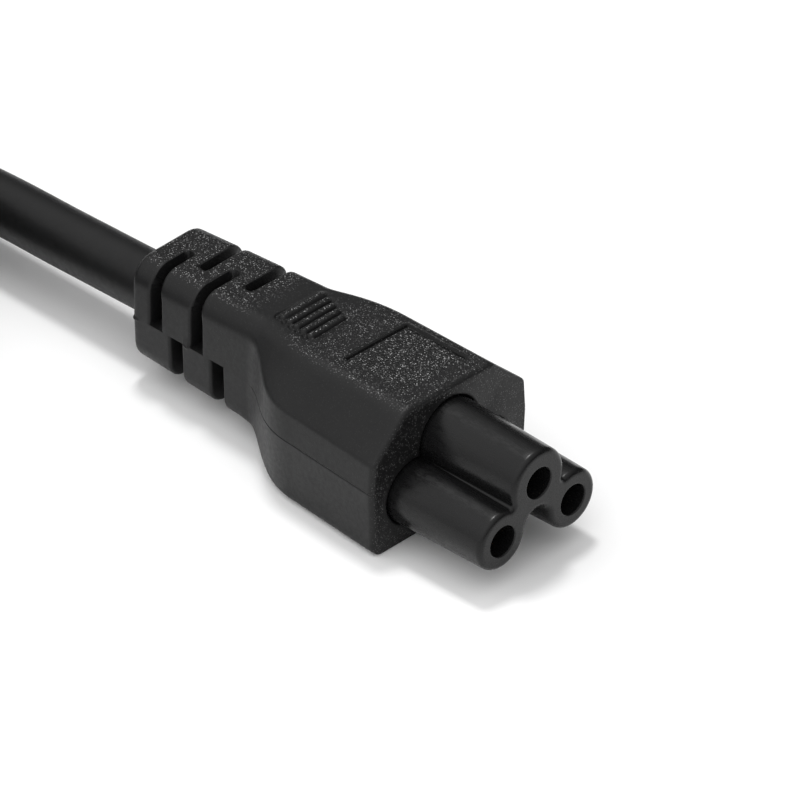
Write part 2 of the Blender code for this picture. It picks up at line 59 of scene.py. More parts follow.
# Light
WORLD_STRENGTH = 0.9
WORLD_TILT = (0.0, -0.8, 1.2)  # brighter above and at -Y, by these shares of the strength
WORLD_TILT_BOUND = 2.0  # more than the tilt ever adds
WORLD_LEAST = 0.1
KEY_PLACE = (-130.0, 90.0, 640.0)
KEY_AIM = (0.0, 0.0, 8.0)
KEY_SIZE = 120.0
KEY_POWER = 1.5

# Connector
NOSE_X = 26.25
FACE_X = 13.95
GRIP_LENGTH = 12.2
SHOULDER_X = FACE_X - GRIP_LENGTH
SHOULDER_LENGTH = 10.75
SHOULDER_POWER = 0.72  # below 1, the shoulder narrows more slowly at the grip than at the relief
RELIEF_X = SHOULDER_X - SHOULDER_LENGTH
REAR_X = -26.25
FACE_HALF_WIDTHS = (10.85, 11.15)  # on the near side and on the far one
SHOULDER_HALF_WIDTH = 10.15
SHOULDER_STEEPNESS = 0.6
GRIP_HEIGHT = 15.5
GRIP_TOP_HALF_WIDTH = 6.1
GRIP_CHAMFER_DROPS = (4.6, 4.2)  # on the near side and on the far one
GRIP_SIDE_DRAFT = 0.3
GRIP_WAIST_RADIUS = 0.9
GRIP_EDGE_RADII = (2.6, 0.9)
GRIP_FOOT_RADIUS = 1.25
PARTING_HEIGHT = 7.7
FACE_FILLET = 0.6
CRISP_FILLET_SHARE = 0.2  # of the end fillets, on the far side and under the front
RELIEF_HALF_WIDTH = 5.65
RELIEF_TOP = (14.45, 14.95)  # at its rear end and at the shoulder
RELIEF_BOTTOM = (2.4, 1.9)
RELIEF_CORNER_RADIUS = (2.9, 2.4)
RELIEF_FAR_CORNER_SHARE = (1.06, 0.68)
RELIEF_FOOT_SHARE = 0.78
RELIEF_SKEW = 0.06  # its far side lies this much further back, per millimetre across
RELIEF_SKEW_FROM = -11.0
RELIEF_SKEW_OVER = 7.0
RELIEF_SIDE_DRAFT = 0.1
FOOT_DELAY = 3.5
FOOT_RISE = 9.5
REAR_FILLET = 0.75
ROUND_SHARE = 0.97
CORNER_FIT = 0.93  # the share of a side that the round corners at its ends may take up
FINE_STEP = 0.07  # between points where the surface bends sharply
CAP_MARGIN = 0.25  # flat ring that keeps an end face's shading apart from its fillet's

# Slots in the strain relief
SLOT_COUNT = 4
SLOT_WIDTH = 1.65
SLOT_PITCH = 3.03
SLOT_DEPTH = 2.0
FIRST_SLOT_FROM_REAR = 3.6
SLOT_PAST_CENTRES = (0.0, 1.6, 0.6, 1.2)  # each slot passes the middle by this much
SLOT_TOP_NARROWING = 0.3  # how much less than half the width is left of the slots up on the top
SLOT_TOP_FROM = 11.5
SLOT_TOP_OVER = 2.5
SLOT_LEVEL = 7.9  # where the slots above end and those below begin
SLOT_LIP = 0.4
SLOT_WALL = 0.05  # the walls lean by this much over their depth
SLOT_SCOOP = 3.2  # the floor rises to the tip over this length

# Label panel, ribbed patch and parting line
PANEL_X = (3.15, 11.65)
PANEL_Y = (-3.7, 5.0)
PANEL_DEPTH = 0.17
PANEL_WALL = 0.06
PANEL_GUTTER_DEPTH = 0.1
PANEL_GUTTER_WIDTH = 0.12
PANEL_RIM_WIDTH = 0.5
PANEL_RIM_HEIGHT = 0.14
PANEL_RIM_ONSET = 0.1
RIB_COUNT = 5
RIB_PITCH = 1.19
FIRST_RIB_X = -7.15
RIB_WIDTH = 0.95
RIB_HEIGHT = 0.42
RIB_ENDS = (-2.7, 3.6)
RIB_ENDS_SHIFTS = (0.2, 0.48)  # each rib's ends lie this much nearer than those of the one behind it
RIB_HOLLOW_DEPTH = 0.2
RIB_HOLLOW_MARGIN = 0.3
RIB_HOLLOW_EDGE = 0.2
RIB_HOLLOW_END = 2.0  # the hollow is shallower towards this y, over its fade
RIB_HOLLOW_FADE = 4.0
RIB_HOLLOW_LEAST = 0.3
PARTING_DEPTH = 0.11
FLASH_HEIGHT = 0.2  # of the spur left where the parting line meets the rear end
FLASH_LENGTH = 0.9
FLASH_THICKNESS = 0.12
MARK_PLACE = (-18.05, 8.0)
MARK_RADIUS = 0.35
MARK_HEIGHT = 0.14
MARK_RIDGE = 0.8  # of the mark's radius
FRONT_GRAIN = 0.2
LEAST_GRAIN = 0.02

# Nose
POLE_SPACING = 10.0
POLE_HEIGHT = 5.6
EARTH_RISE = 4.5
POLES = (
    (-POLE_SPACING / 2, POLE_HEIGHT),
    (POLE_SPACING / 2, POLE_HEIGHT),
    (0.0, POLE_HEIGHT + EARTH_RISE),
)
POLE_LOBE_RADIUS = 3.25
EARTH_LOBE_RADIUS = 3.65
LOBE_VALLEY_RADIUS = 0.35
WEB_ARCH_HEIGHT = 7.0
INSERT_ROOT = 6.0
NOSE_FILLET = 0.6
NOSE_DRAFT = 0.3  # how much larger all round it is at its foot
SEAM = 0.12
SEAM_LIP = 0.16
BORE_RADIUS = 1.7
BORE_LIP = 0.15
BORE_DEPTH = 14.0

# Cord
CORD_DIAMETER = 6.6
CORD_EXIT_HEIGHT = 8.0
CORD_ROOT = 3.0  # it starts and ends this far inside the mouldings
CORD_SEAM = 0.08
LEAD_ROUTE = (  # x and height
    (-31.5, 7.8),
    (-37.5, 7.6),
    (-43.5, 7.4),
    (-49.0, 7.3),
    (-54.0, 7.1),
    (-59.6, 6.7),
    (-65.0, 5.95),
    (-71.0, 4.85),
    (-77.0, 3.85),
)
TURN_PITCH = 6.75
OUTER_TURN_RADIUS = 42.4
LOWER_TURNS = 3
COIL_X = -83.75
COIL_Y = -OUTER_TURN_RADIUS
FLOOR_TURN = CORD_DIAMETER / 2
UPPER_TURN = FLOOR_TURN + TURN_PITCH * math.sqrt(3) / 2
LAST_TURN_RADIUS = OUTER_TURN_RADIUS - TURN_PITCH / 2
TURN_SHIFT_FROM = 230.0  # degrees into each turn where it starts to move over to the next one's place
COIL_TOP = UPPER_TURN + CORD_DIAMETER / 2
TAIL_START = 15.0
TAIL_TURN = 150.0
TAIL_RADIUS = 31.0
TAIL_RUN_UP = 40.0
SETTLE_ROUNDS = 200
SETTLE_SMOOTHING = 3
SETTLE_CLEAR = 0.05
SETTLE_APART = 25.0
SETTLE_FROM = 42.0  # the lead is held up to here, and free after its fade-in
SETTLE_FADE_IN = 25.0
SETTLE_TO_END = 50.0
SETTLE_FADE_OUT = 40.0

# Tie
TIE_ANGLE = 300.0
TIE_WIDTH = 4.0
TIE_THICKNESS = 0.8  # over the wire in its middle
TIE_WING = 0.3
TIE_RIDGE_SHARE = 0.24
TIE_GAP = 0.3
TIE_SLACK = 0.04
TIE_LIFT = TIE_THICKNESS + TIE_SLACK  # the turns rise by this much where the strip passes under them
TIE_LIFT_SPREAD = 24.0
TIE_END = 9.0
TWIST_PITCH = 4.2
TWIST_OFFSET = 0.38
TWIST_WIDTH = 1.9

# Plug, along its own axis from the cord to the tips of its pins
PLUG_RELIEF = 14.0
PLUG_SHOULDER = 7.0
PLUG_LENGTH = 38.0
PLUG_HALF_WIDTH = 12.0
PLUG_HALF_HEIGHT = 11.0
PLUG_AXIS_HEIGHT = COIL_TOP + 0.3 + PLUG_HALF_HEIGHT
PLUG_CORNER = 3.5
PLUG_RELIEF_RADII = (4.3, 5.4)
PLUG_FILLET = 1.0
BLADE_SPACING = 12.7
BLADE_RAISE = 4.5
BLADE_HEIGHT = 6.35
BLADE_THICKNESS = 1.5
BLADE_LENGTH = 16.0
EARTH_PIN_DROP = 11.9
EARTH_PIN_PLACE = (0.0, BLADE_RAISE - EARTH_PIN_DROP)
EARTH_PIN_RADIUS = 2.4
EARTH_PIN_LENGTH = 19.0
PIN_ROOT = 5.0
PIN_GAP = 0.12
PLUG_REAR_FILLET = 0.4
PLUG_GROOVES = 4
PLUG_GROOVE_PITCH = 2.7
PLUG_GROOVE_WIDTH = 1.3
PLUG_GROOVE_DEPTH = 0.75
PLUG_GRIP_X = (22.5, 34.5)
PLUG_GRIP_Z = (-7.0, 7.0)
PLUG_GRIP_DEPTH = 0.6
PLUG_RIB_PITCH = 2.0
BLADE_EDGE = 0.18
BLADE_TIP_RADIUS = 1.3
BLADE_TAPER = 3.0
BLADE_HOLE_RADIUS = 1.6
BLADE_HOLE_FROM_TIP = 4.4
EARTH_PIN_DOME = 2.2


def smoothstep(share):
    share = min(max(share, 0.0), 1.0)
    return share * share * (3 - 2 * share)


def mix(first, second, share):
    return first + (second - first) * share


def ramp(value, start=0.0, length=1.0):
    """0 up to a start, and from there a rise to 1 over a length."""
    return np.clip((value - start) / length, 0, 1)


def spread(low, high, step, finer=()):
    """Positions from low to high a step apart, or a finer one in each (low, high, step) range."""
    stops = sorted({stop for start, end, _ in finer for stop in (start, end)} | {high})
    found = [low]
    while found[-1] < high - 1e-6:
        here = found[-1] + 1e-6
        size = min([fine for start, end, fine in finer if start <= here < end], default=step)
        stop = next(stop for stop in stops if stop > here)
        found.append(min(found[-1] + size, stop, high))
    return found


def onwards(ring):
    """A closed ring from its second place on, which puts each item's follower in its place."""
    return ring[1:] + ring[:1]


def add_rings(shape, rings, *caps):
    """Closed rings of points, joined one to the next by quads, with a face on each that caps names."""
    made = [[shape.verts.new(Vector(point) * MM) for point in ring] for ring in rings]
    for ring, above in zip(made, made[1:]):
        for corners in zip(ring, onwards(ring), onwards(above), above):
            shape.faces.new(corners)
    for cap in caps:
        shape.faces.new(made[cap])
    return made


def fill_between(shape, *rings):
    """A flat face inside the first ring, with a hole at each of the others."""
    sides = [ends for ring in rings for ends in zip(ring, onwards(ring))]
    edges = [shape.edges.get(ends) or shape.edges.new(ends) for ends in sides]
    bmesh.ops.triangle_fill(shape, use_beauty=True, use_dissolve=False, edges=edges)


def finish_mesh(name, shape, material, sharp=38.0, place=Matrix()):
    """An object of a shape, with sharp edges where it turns by more than an angle in degrees."""
    bmesh.ops.recalc_face_normals(shape, faces=shape.faces)
    mesh = bpy.data.meshes.new(name)
    shape.to_mesh(mesh)
    shape.free()
    mesh.shade_smooth()
    mesh.set_sharp_from_angle(angle=math.radians(sharp))
    mesh.materials.append(material)
    made = bpy.data.objects.new(name, mesh)
    bpy.context.scene.collection.objects.link(made)
    made.matrix_world = place
    return made


def circle(radius, steps=48):
    angles = [math.tau * i / steps for i in range(steps)]
    return [(radius * math.cos(a), radius * math.sin(a)) for a in angles]


def turned(sizes, centre=(0.0, 0.0), steps=48):
    """Rings round an axis along X, with a radius at each x, given as (x, radius) pairs."""
    middle_y, middle_z = centre
    return [[(x, middle_y + y, middle_z + z) for y, z in circle(r, steps)] for x, r in sizes]


# Materials

PLASTIC_SPECULAR = 0.26
NOISE_SPAN = (0.3, 0.7)  # most of a noise's values lie between these
GRAIN_SIZE = 0.2
GRAIN_SMOOTHNESS = 0.35
GRAIN_DARKENING = 0.6
# Painted glints: bright base-colour spots on the grain that stand in for its sparkle
PAINTED_GLINT_SIZE = 0.15
PAINTED_GLINT_SPAN = (0.2, 0.5)  # from a cell's middle, where its painted glint begins to fade and where it ends
PAINTED_GLINT_RARITY = 4.5


def feed(tree, given, socket):
    """Joins another node's output to a socket, or sets the socket to a plain value."""
    if isinstance(given, bpy.types.NodeSocket):
        tree.links.new(given, socket)
    else:
        socket.default_value = given


def add_node(tree, kind, **inputs):
    """A new shader node with its named inputs fed; _ stands for a space."""
    node = tree.nodes.new("ShaderNode" + kind)
    for name, given in inputs.items():
        feed(tree, given, node.inputs[name.replace("_", " ")])
    return node


class Look:
    """A Principled material whose textures are placed by the object's own coordinates, in metres."""

    def __init__(self, name, colour, roughness, metallic=0.0):
        self.material = bpy.data.materials.new(name)
        self.material.use_nodes = True
        self.tree = self.material.node_tree
        self.shader = self.tree.nodes["Principled BSDF"]
        self.set("Base Color", (*colour, 1.0))
        self.set("Roughness", roughness)
        self.set("Metallic", metallic)
        self.set("Specular IOR Level", 0.5 if metallic else PLASTIC_SPECULAR)
        self.place = self.node("TexCoord").outputs["Object"]

    def node(self, kind, **inputs):
        return add_node(self.tree, kind, **inputs)

    def set(self, socket, given):
        feed(self.tree, given, self.shader.inputs[socket])

    def noise(self, size, detail=2.0, along_x=1.0, roughness=0.5):
        """Noise with features of a size in millimetres, drawn out along X where along_x is below 1."""
        scaled = self.node("Mapping", Scale=(along_x, 1.0, 1.0), Vector=self.place).outputs["Vector"]
        node = self.node("TexNoise", Scale=1 / (size * MM), Vector=scaled, Detail=detail, Roughness=roughness)
        return node.outputs["Fac"]

    def cells(self, size):
        return self.node("TexVoronoi", Scale=1 / (size * MM), Vector=self.place)

    def grains(self):
        """A height for each grain of a spark-eroded surface."""
        texture = self.cells(GRAIN_SIZE)
        texture.feature = "SMOOTH_F1"
        texture.inputs["Smoothness"].default_value = GRAIN_SMOOTHNESS
        return texture.outputs["Distance"]

    def painted_glints(self):
        """Painted glints: bright spots of random strength laid into the base colour, one at most in each
        cell.
        """
        texture = self.cells(PAINTED_GLINT_SIZE)
        chance = self.node("SeparateColor", Color=texture.outputs["Color"]).outputs["Red"]
        spot = self.remap(texture.outputs["Distance"], 1.0, 0.0, *PAINTED_GLINT_SPAN)
        return self.math("MULTIPLY", spot, self.math("POWER", chance, PAINTED_GLINT_RARITY))

    def remap(self, value, low, high, start=NOISE_SPAN[0], end=NOISE_SPAN[1]):
        """A value that goes from low to high as another goes from start to end."""
        node = self.node("MapRange", Value=value, From_Min=start, From_Max=end, To_Min=low, To_Max=high)
        return node.outputs["Result"]

    def math(self, operation, first, second):
        node = self.node("Math")
        node.operation = operation
        for socket, given in zip(node.inputs, (first, second)):
            feed(self.tree, given, socket)
        return node.outputs["Value"]

    def mottle(self, value, dark, light, end=NOISE_SPAN[1]):
        """Lets the base colour follow a noise, from dark to light."""
        node = self.node("ValToRGB", Fac=value)
        stops = zip(node.color_ramp.elements, (NOISE_SPAN[0], end), (dark, light))
        for element, position, colour in stops:
            element.position = position
            element.color = (*colour, 1.0)
        self.set("Base Color", node.outputs["Color"])

    def tint(self, share, grey):
        """Lays a grey over the base colour by a share."""
        node = self.node("Mix")
        node.data_type = "RGBA"
        base = self.shader.inputs["Base Color"].links[0].from_socket
        for socket, given in ((0, share), (6, base), (7, (grey, grey, grey, 1.0))):
            feed(self.tree, given, node.inputs[socket])
        self.set("Base Color", node.outputs[2])

    def bump(self, height, distance):
        """Relief of a depth in millimetres, on top of any relief given before."""
        node = self.node("Bump", Strength=1.0, Distance=distance * MM, Height=height)
        normal = self.shader.inputs["Normal"]
        if normal.is_linked:
            feed(self.tree, normal.links[0].from_socket, node.inputs["Normal"])
        self.set("Normal", node.outputs["Normal"])


def grained_black():
    """Satin black PVC, with a spark-eroded grain where the mesh says so, and painted glints, bright spots in
    the base colour, on that grain.
    """
    look = Look("grained_black", (0.0055, 0.0055, 0.0057), 0.45)
    attribute = look.node("Attribute")
    attribute.attribute_name = "grain"
    grain = attribute.outputs["Fac"]
    look.mottle(look.noise(4.0, detail=4.0), (0.005, 0.005, 0.0052), (0.0068, 0.0068, 0.007))
    look.tint(look.math("MULTIPLY", grain, GRAIN_DARKENING), 0.002)
    # painted glints: the grain's sparkle laid into the base colour as bright spots
    look.tint(look.math("MULTIPLY", look.painted_glints(), grain), 0.6)
    satin = look.remap(look.noise(0.5, detail=4.0), 0.4, 0.52)
    rough = look.remap(look.noise(0.16), 0.3, 0.5)
    look.set("Roughness", look.node("Mix", Factor=grain, A=satin, B=rough).outputs["Result"])
    look.bump(look.noise(2.4, detail=1.0), 0.012)
    look.bump(look.noise(0.22), 0.004)
    look.bump(look.math("MULTIPLY", look.grains(), grain), 0.06)
    return look.material


def gloss_black():
    """The nose's smooth gloss, with faint flow streaks along it."""
    look = Look("gloss_black", (0.0045, 0.0045, 0.0047), 0.28)
    flow = look.noise(2.0, detail=3.0, along_x=0.25)
    look.mottle(flow, (0.004, 0.004, 0.0042), (0.0056, 0.0056, 0.0058))
    scuffs = look.noise(0.4, detail=5.0, along_x=0.35, roughness=0.6)
    look.set("Roughness", look.remap(scuffs, 0.2, 0.36, start=0.35))
    look.bump(look.noise(2.5, detail=1.0, along_x=0.3), 0.015)
    look.bump(look.noise(0.12), 0.0025)
    return look.material


def cord_black():
    """The lead's satin PVC sheath, with a very faint orange peel."""
    look = Look("cord_black", (0.005, 0.005, 0.0052), 0.45)
    look.mottle(look.noise(3.0, detail=3.0), (0.0045, 0.0045, 0.0047), (0.006, 0.006, 0.0062))
    look.set("Roughness", look.remap(look.noise(0.6, detail=4.0), 0.38, 0.5))
    look.bump(look.noise(0.9), 0.012)
    look.bump(look.noise(0.1, detail=1.0), 0.003)
    return look.material


def tie_black():
    """The tie's plastic strip, a little shinier than the lead and finely wrinkled."""
    look = Look("tie_black", (0.01, 0.01, 0.0105), 0.32)
    look.mottle(look.noise(1.5, detail=3.0), (0.008, 0.008, 0.0084), (0.013, 0.013, 0.0136))
    look.set("Roughness", look.remap(look.noise(0.3, detail=4.0), 0.25, 0.42))
    look.bump(look.noise(0.5, detail=3.0), 0.04)
    return look.material


def brass():
    """Drawn brass with a little tarnish."""
    look = Look("brass", (0.72, 0.53, 0.28), 0.35, 1.0)
    look.mottle(look.noise(0.8, detail=4.0), (0.5, 0.35, 0.17), (0.74, 0.55, 0.3), 0.65)
    drawn = look.noise(0.12, detail=3.0, along_x=0.05)
    look.set("Roughness", look.remap(drawn, 0.25, 0.5))
    look.bump(drawn, 0.006)
    return look.material


def nickel():
    """Nickel plate with fine rubbing marks along the pins."""
    look = Look("nickel", (0.68, 0.66, 0.62), 0.25, 1.0)
    look.mottle(look.noise(2.5, detail=3.0), (0.65, 0.63, 0.59), (0.71, 0.69, 0.65))
    rubbed = look.noise(0.09, detail=3.0, along_x=0.03)
    look.set("Roughness", look.remap(rubbed, 0.16, 0.26))
    look.bump(rubbed, 0.001)
    return look.material


# Camera, floor and light


def make_camera():
    azimuth, elevation, roll = (math.radians(a) for a in (CAMERA_AZIMUTH, CAMERA_ELEVATION, CAMERA_ROLL))
    level = Matrix.Rotation(azimuth, 4, "Z") @ Matrix.Rotation(math.pi / 2 - elevation, 4, "X")
    place = level @ Matrix.Rotation(roll, 4, "Z")
    place.translation = (Vector(CAMERA_TARGET) + level.col[2].xyz * CAMERA_DISTANCE) * MM
    data = bpy.data.cameras.new("camera")
    data.sensor_width = SENSOR_WIDTH
    data.lens = CAMERA_FOCAL_PIXELS * SENSOR_WIDTH / IMAGE_PIXELS
    data.clip_start = 0.01
    camera = bpy.data.objects.new("camera", data)
    bpy.context.scene.collection.objects.link(camera)
    camera.matrix_world = place
    bpy.context.scene.camera = camera


def make_floor():
    look = Look("studio_floor", (0.95, 0.95, 0.95), 0.75)
    look.mottle(look.noise(30.0), (0.94, 0.94, 0.94), (0.96, 0.96, 0.96))
    look.set("Specular IOR Level", 0.2)
    shape = bmesh.new()
    bmesh.ops.create_grid(shape, x_segments=1, y_segments=1, size=3.0)
    floor = finish_mesh("floor", shape, look.material)


def make_light():
    """Surroundings that are brighter above and in front, and one soft lamp high up."""
    world = bpy.data.worlds.new("studio")
    world.use_nodes = True
    tree = world.node_tree
    background = tree.nodes["Background"]
    tilt = add_node(tree, "VectorMath", Vector=add_node(tree, "TexCoord").outputs["Generated"])
    tilt.operation = "DOT_PRODUCT"
    tilt.inputs[1].default_value = WORLD_TILT
    level_share = 1 - WORLD_TILT[2] * 2 / 3  # keeps the floor's own brightness the same
    strength = add_node(
        tree,
        "MapRange",
        Value=tilt.outputs["Value"],
        From_Min=WORLD_LEAST - level_share,
        From_Max=WORLD_TILT_BOUND,
        To_Min=WORLD_STRENGTH * WORLD_LEAST,
        To_Max=WORLD_STRENGTH * (WORLD_TILT_BOUND + level_share),
    )
    feed(tree, (1.0, 1.0, 1.0, 1.0), background.inputs["Color"])
    feed(tree, strength.outputs["Result"], background.inputs["Strength"])
    bpy.context.scene.world = world
    data = bpy.data.lights.new("key", "AREA")
    data.shape = "DISK"
    data.size = KEY_SIZE * MM
    data.energy = KEY_POWER
    lamp = bpy.data.objects.new("key", data)
    bpy.context.scene.collection.objects.link(lamp)
    lamp.location = Vector(KEY_PLACE) * MM
    lamp.rotation_mode = "QUATERNION"
    lamp.rotation_quaternion = (Vector(KEY_AIM) - Vector(KEY_PLACE)).normalized().to_track_quat("-Z", "Y")
    bpy.context.scene.view_settings.view_transform = "Standard"


# Connector body


def corner(before, here, after, radius, steps):
    """(point, outward normal) pairs round one corner of a counter-clockwise outline."""
    to_before = (Vector(before) - Vector(here)).normalized()
    to_after = (Vector(after) - Vector(here)).normalized()
    half_angle = to_before.angle(to_after) / 2
    centre = Vector(here) + (to_before + to_after).normalized() * radius / math.sin(half_angle)
    start = (Vector(here) + to_before * radius / math.tan(half_angle) - centre) / radius
    sweep = math.pi - 2 * half_angle
    normals = [Matrix.Rotation(sweep * k / steps, 2) @ start for k in range(steps + 1)]
    return [(centre + normal * radius, normal) for normal in normals]


def arcs_round(corners, radii, steps):
    """The arc at each corner of a closed outline."""
    ends = zip(corners[-1:] + corners, corners, onwards(corners), radii)
    return [corner(*points, radius, steps) for *points, radius in ends]


def between(first, last, shares):
    """(point, normal) pairs on the straight side from one point to another, without its ends."""
    along = (last - first).normalized()
    normal = Vector((along.y, -along.x))
    return [(first.lerp(last, share), normal) for share in shares]


def inner_shares(steps):
    return [k / steps for k in range(1, steps)]


class BodySection:
    """The connector's outline across X, as (y, z) points and normals that match from x to x."""

    def __init__(self):
        self.low_side = [*inner_shares(9), 0.93, 0.965, 0.985]
        slot_end = SLOT_LEVEL - PARTING_HEIGHT
        self.near_parting = [0.07, slot_end - SLOT_WALL, slot_end, slot_end + SLOT_WALL, 0.42]
        near, far = (self.corners(FACE_X, side)[4][-1][0].x for side in (0, 1))
        low, high = PANEL_Y
        finer = [
            (low - PANEL_RIM_WIDTH, low, FINE_STEP),
            (low, low + PANEL_WALL, PANEL_WALL),
            (high - PANEL_WALL - PANEL_GUTTER_WIDTH, high - PANEL_WALL, FINE_STEP),
            (high - PANEL_WALL, high, PANEL_WALL),
            (high, high + PANEL_RIM_WIDTH, FINE_STEP),
        ]
        across = spread(-near, far, 0.16, finer)
        self.top = [(far - y) / (far + near) for y in reversed(across[1:-1])]

    def corners(self, x, side):
        """Arcs of foot, waist and top edge on the near side, 0, or the far one, 1, as if at y above 0."""
        grip_share = min(max((FACE_X - x) / GRIP_LENGTH, 0.0), 1.0)
        behind = min(max((SHOULDER_X - x) / SHOULDER_LENGTH, 0.0), 1.0)
        share = 1 - smoothstep((1 - behind) ** SHOULDER_POWER)
        foot_share = smoothstep((SHOULDER_X - FOOT_DELAY - x) / FOOT_RISE)
        along = min((x - REAR_X) / (RELIEF_X - REAR_X), 1.0)
        relief_radius = mix(*RELIEF_CORNER_RADIUS, along)
        if side:
            relief_radius *= mix(*RELIEF_FAR_CORNER_SHARE, along)
        side_cut = relief_radius * (2 - math.sqrt(2))
        steep = mix(share, smoothstep(share), SHOULDER_STEEPNESS)
        grip_half = mix(FACE_HALF_WIDTHS[side], SHOULDER_HALF_WIDTH, grip_share)
        foot_half, waist_half = (mix(grip_half, RELIEF_HALF_WIDTH, s) for s in (share, steep))
        bottom = mix(0.0, mix(*RELIEF_BOTTOM, along), foot_share)
        relief_round = relief_radius * ROUND_SHARE
        top, top_half, draft, drop, waist_radius, edge_radius, foot_radius = (
            mix(at_grip, at_relief, share)
            for at_grip, at_relief in (
                (GRIP_HEIGHT, mix(*RELIEF_TOP, along)),
                (GRIP_TOP_HALF_WIDTH, RELIEF_HALF_WIDTH - side_cut),
                (GRIP_SIDE_DRAFT, RELIEF_SIDE_DRAFT),
                (GRIP_CHAMFER_DROPS[side], side_cut),
                (GRIP_WAIST_RADIUS, relief_round),
                (GRIP_EDGE_RADII[side], relief_round),
                (GRIP_FOOT_RADIUS, relief_radius * RELIEF_FOOT_SHARE),
            )
        )
        foot, parting = (foot_half - draft, bottom), ((foot_half + waist_half) / 2, PARTING_HEIGHT)
        waist, edge = (waist_half - draft, top - drop), (top_half, top)
        lean = math.atan2(waist[0] - edge[0], edge[1] - waist[1])
        needed = waist_radius * math.tan(lean / 2) + edge_radius * math.tan((math.pi / 2 - lean) / 2)
        fit = min(CORNER_FIT * math.dist(waist, edge) / needed, 1.0)
        waist_radius, edge_radius = waist_radius * fit, edge_radius * fit
        return [
            corner((-foot[0], bottom), foot, parting, foot_radius, 7),
            Vector(parting),
            Vector((0.0, bottom)),
            corner(parting, waist, edge, waist_radius, 7),
            corner(waist, edge, (-edge[0], top), edge_radius, 9),
        ]

    def half(self, x, side):
        """The outline from the underside's middle up to the top, for one side, as if at y above 0."""
        foot, parting, bottom, waist, edge = self.corners(x, side)
        low_end, high_start = foot[-1], waist[0]
        rise = (high_start[0] - parting).length
        near_parting = [height / rise for height in self.near_parting]
        return [
            (bottom, Vector((0.0, -1.0))),
            *between(bottom, foot[0][0], inner_shares(14)),
            *foot,
            *between(low_end[0], parting, self.low_side),
            (parting, Vector((1.0, 0.0))),
            *between(parting, high_start[0], near_parting),
            *between(parting, high_start[0], [mix(near_parting[-1], 1.0, k / 9) for k in range(1, 9)]),
            *waist,
            *between(waist[-1][0], edge[0][0], inner_shares(14)),
            *edge,
        ]

    def at(self, x):
        far = self.half(x, 1)
        near = [(Vector((-p.x, p.y)), Vector((-n.x, n.y))) for p, n in reversed(self.half(x, 0)[1:])]
        return far + between(far[-1][0], near[0][0], self.top) + near


def fillet_steps(radius, steps):
    """(distance from the end face, inset) pairs of a quarter-round edge, from the face inwards."""
    angles = [math.pi / 2 * k / steps for k in range(steps + 1)]
    return [(radius * (1 - math.cos(a)), radius * (1 - math.sin(a))) for a in angles]


def rounded_stations(rear, front, step, finer):
    """(x, inset) pairs between two ends, each given as its x, fillet, fillet's steps and flat rim."""
    (low, low_fillet, low_steps, low_rim), (high, high_fillet, high_steps, high_rim) = rear, front
    regular = spread(low + low_fillet, high - high_fillet, step, finer)
    return [
        (low, low_fillet + low_rim),
        *[(low + along, inset) for along, inset in fillet_steps(low_fillet, low_steps)],
        *[(x, 0.0) for x in regular[1:-1]],
        *[(high - along, inset) for along, inset in reversed(fillet_steps(high_fillet, high_steps))],
        (high, high_fillet + high_rim),
    ]


def raised_rings(stations, outline, height_at):
    """Rings of points at each station, moved along their normals by their height."""
    rings = [outline(x) for x, _ in stations]
    points, normals = (np.array([[pair[k] for pair in ring] for ring in rings]) for k in (0, 1))
    x, inset = (np.array([[station[k]] for station in stations]) for k in (0, 1))
    height = height_at(x, points[..., 0], points[..., 1], normals, inset)
    moved = points + normals * height[..., None]
    return [[(x[i, 0], *p) for p in ring] for i, ring in enumerate(moved)]


def body_stations():
    """(x, inset) pairs along the connector, close together where the surface has detail."""
    finer = []
    for i in range(SLOT_COUNT):
        centre = REAR_X + FIRST_SLOT_FROM_REAR + i * SLOT_PITCH
        low, high = centre - SLOT_WIDTH / 2, centre + SLOT_WIDTH / 2
        finer += [
            (low - SLOT_LIP, low, FINE_STEP),
            (low, low + SLOT_WALL, SLOT_WALL),
            (low + SLOT_WALL, high - SLOT_WALL, 0.13),
            (high - SLOT_WALL, high, SLOT_WALL),
            (high, high + SLOT_LIP, FINE_STEP),
        ]
    rib_reach = RIB_WIDTH / 2 + RIB_HOLLOW_MARGIN + RIB_HOLLOW_EDGE
    rear, front = PANEL_X
    finer += [
        (FIRST_RIB_X - rib_reach, FIRST_RIB_X + (RIB_COUNT - 1) * RIB_PITCH + rib_reach, 0.08),
        (rear - PANEL_RIM_WIDTH, rear, FINE_STEP),
        (rear, rear + PANEL_WALL, PANEL_WALL),
        (rear + PANEL_WALL, rear + PANEL_WALL + PANEL_GUTTER_WIDTH, FINE_STEP),
        (front - PANEL_WALL, front, PANEL_WALL),
    ]
    rear_end = (REAR_X, REAR_FILLET, 7, CAP_MARGIN)
    return rounded_stations(rear_end, (FACE_X, FACE_FILLET, 6, CAP_MARGIN), 0.3, finer)


